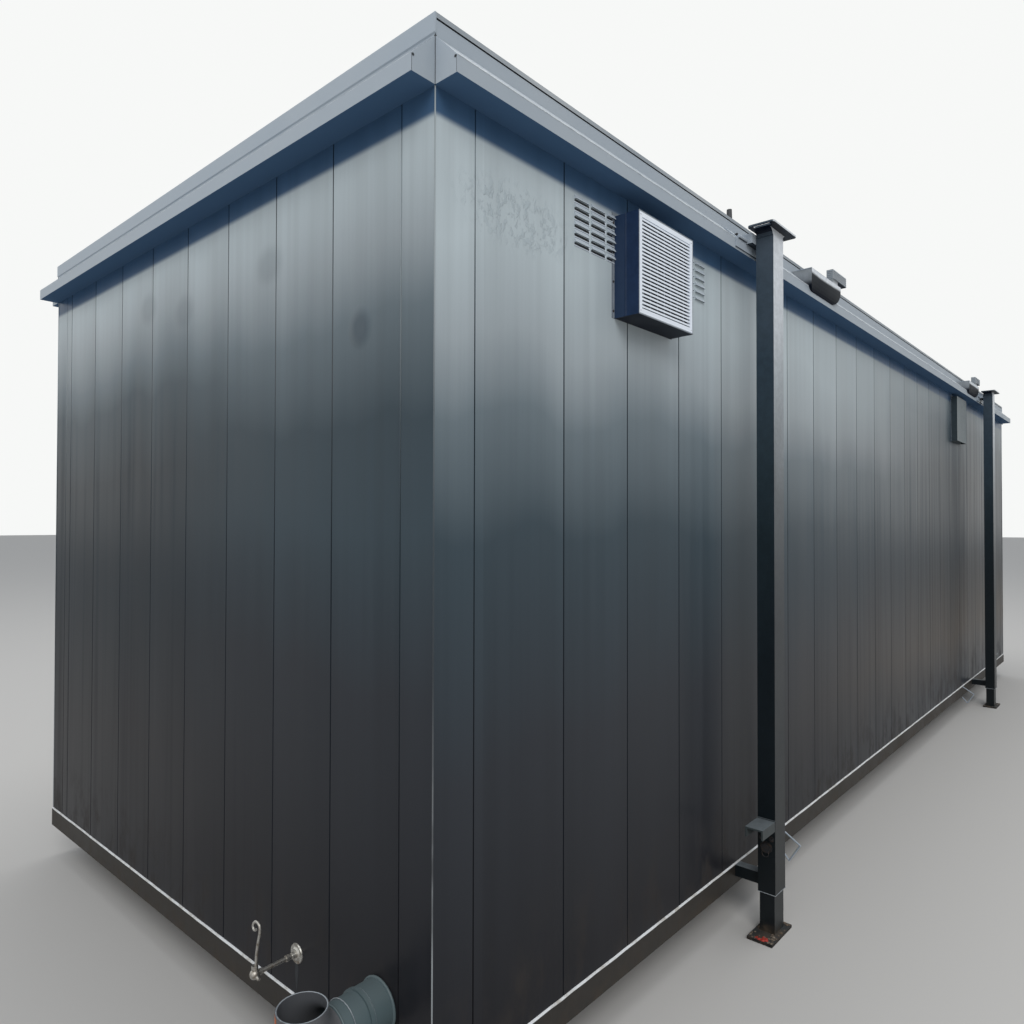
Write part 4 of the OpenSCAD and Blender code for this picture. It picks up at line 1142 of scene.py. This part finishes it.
print([foot_mud(leg).name for leg in legs], marking_blob().name)

# %% [markdown]
# ## Lugs under the rails, roof screws and pipe trim
# A small pointed lug hangs under each long rail beside a leg. The roof sheet is held by
# screws along its laps and its edge. The drain has a rubber ring at its joints and a dab of
# orange marking paint on the open mouth.

# %% Lugs, roof screws and pipe trim
def rail_lugs():
    bm = bmesh.new()
    outline = ((6, 204), (84, 156), (40, 84), (6, 122))
    for number, x, y, sx, sy in legs:
        wall = front_y if sy < 0 else rear_y
        lug_x = x - sx * 400 * MM
        for (out_a, up_a), (out_b, up_b) in zip(outline[:-1], outline[1:]):
            add_rod(bm, (lug_x, wall + sy * out_a * MM, up_a * MM), (lug_x, wall + sy * out_b * MM, up_b * MM), 3.4 * MM, 10)
    return make_piece("rail_lugs", bm, bracket_paint)


def roof_screws():
    bm = bmesh.new()
    roof_low, roof_high = span("roof_deck")
    strip_low, strip_high = span("roof_edge_strip")
    half_width = rear_y - 45 * MM
    ribs, rise = 11, 40 * MM
    for rib in range(1, ribs + 1):
        x = left_x + (right_x - left_x) * rib / (ribs + 1)
        for k in range(-4, 5):
            y = k * 270 * MM
            z = strip_low.z + rise * (1 - abs(y) / (half_width - 20 * MM)) + 5 * MM
            if abs(k) < 4:
                add_rod(bm, (x, y, z - 3 * MM), (x, y, z + 4 * MM), 7 * MM, 8, 4 * MM)
    for k in range(18):
        x = left_x + 0.2 + k * (right_x - left_x - 0.4) / 17
        for y in (front_y + 22 * MM, rear_y - 22 * MM):
            add_rod(bm, (x, y, strip_high.z - MM), (x, y, strip_high.z + 3.5 * MM), 6 * MM, 8, 3.5 * MM)
    return make_piece("roof_screws", bm, dark_steel)


def pipe_trim():
    low, high = span("soil_pipe")
    bend_low, bend_high = span("soil_elbow")
    y = (low.y + high.y) / 2
    z = (low.z + high.z) / 2
    bm = bmesh.new()
    add_ring(bm, (low.x, y, z), (1, 0, 0), 56 * MM, 3 * MM)
    add_ring(bm, (left_x - 4 * MM, y, z), (1, 0, 0), 59 * MM, 4 * MM)
    add_ring(bm, (left_x - 54 * MM, y, z), (1, 0, 0), 57.5 * MM, 2 * MM)
    return make_piece("pipe_rings", bm, drain_grey)


def mouth_rim():
    """The cut edge of the pipe's mouth is pale."""
    low, high = span("soil_elbow")
    bm = bmesh.new()
    add_ring(bm, (low.x + 55 * MM, (low.y + high.y) / 2, high.z - 0.8 * MM), (0, 0, 1), 53 * MM, 1.5 * MM)
    for x in (left_x - 52 * MM, left_x - 104 * MM):
        add_ring(bm, (x, (low.y + high.y) / 2, span("soil_pipe")[0].z + (span("soil_pipe")[1].z - span("soil_pipe")[0].z) / 2), (1, 0, 0), 57 * MM, 1.1 * MM)
    return make_piece("mouth_rim", bm, pale_rim)


def mouth_marking():
    """Orange marking paint, part of the way round below the rim."""
    low, high = span("soil_elbow")
    centre = Vector((low.x + 55 * MM, (low.y + high.y) / 2, high.z))
    bm = bmesh.new()
    start = Matrix.Rotation(math.radians(147), 3, "Z")
    outline = [start @ Vector((r * MM, 0, 0)) + centre + Vector((0, 0, up * MM)) for r, up in ((54.4, -4), (55.5, -4), (55.5, -52), (54.4, -52))]
    face = bm.faces.new([bm.verts.new(c) for c in outline])
    bmesh.ops.spin(bm, geom=list(bm.verts) + list(bm.edges) + [face], cent=centre, axis=(0, 0, 1), angle=math.radians(21), steps=8, use_duplicate=False)
    bmesh.ops.recalc_face_normals(bm, faces=bm.faces)
    return make_piece("mouth_marking", bm, orange_marking, smooth=False)


for made in (rail_lugs(), roof_screws(), pipe_trim(), mouth_rim(), mouth_marking()):
    print(made.name, len(made.data.polygons), "faces")
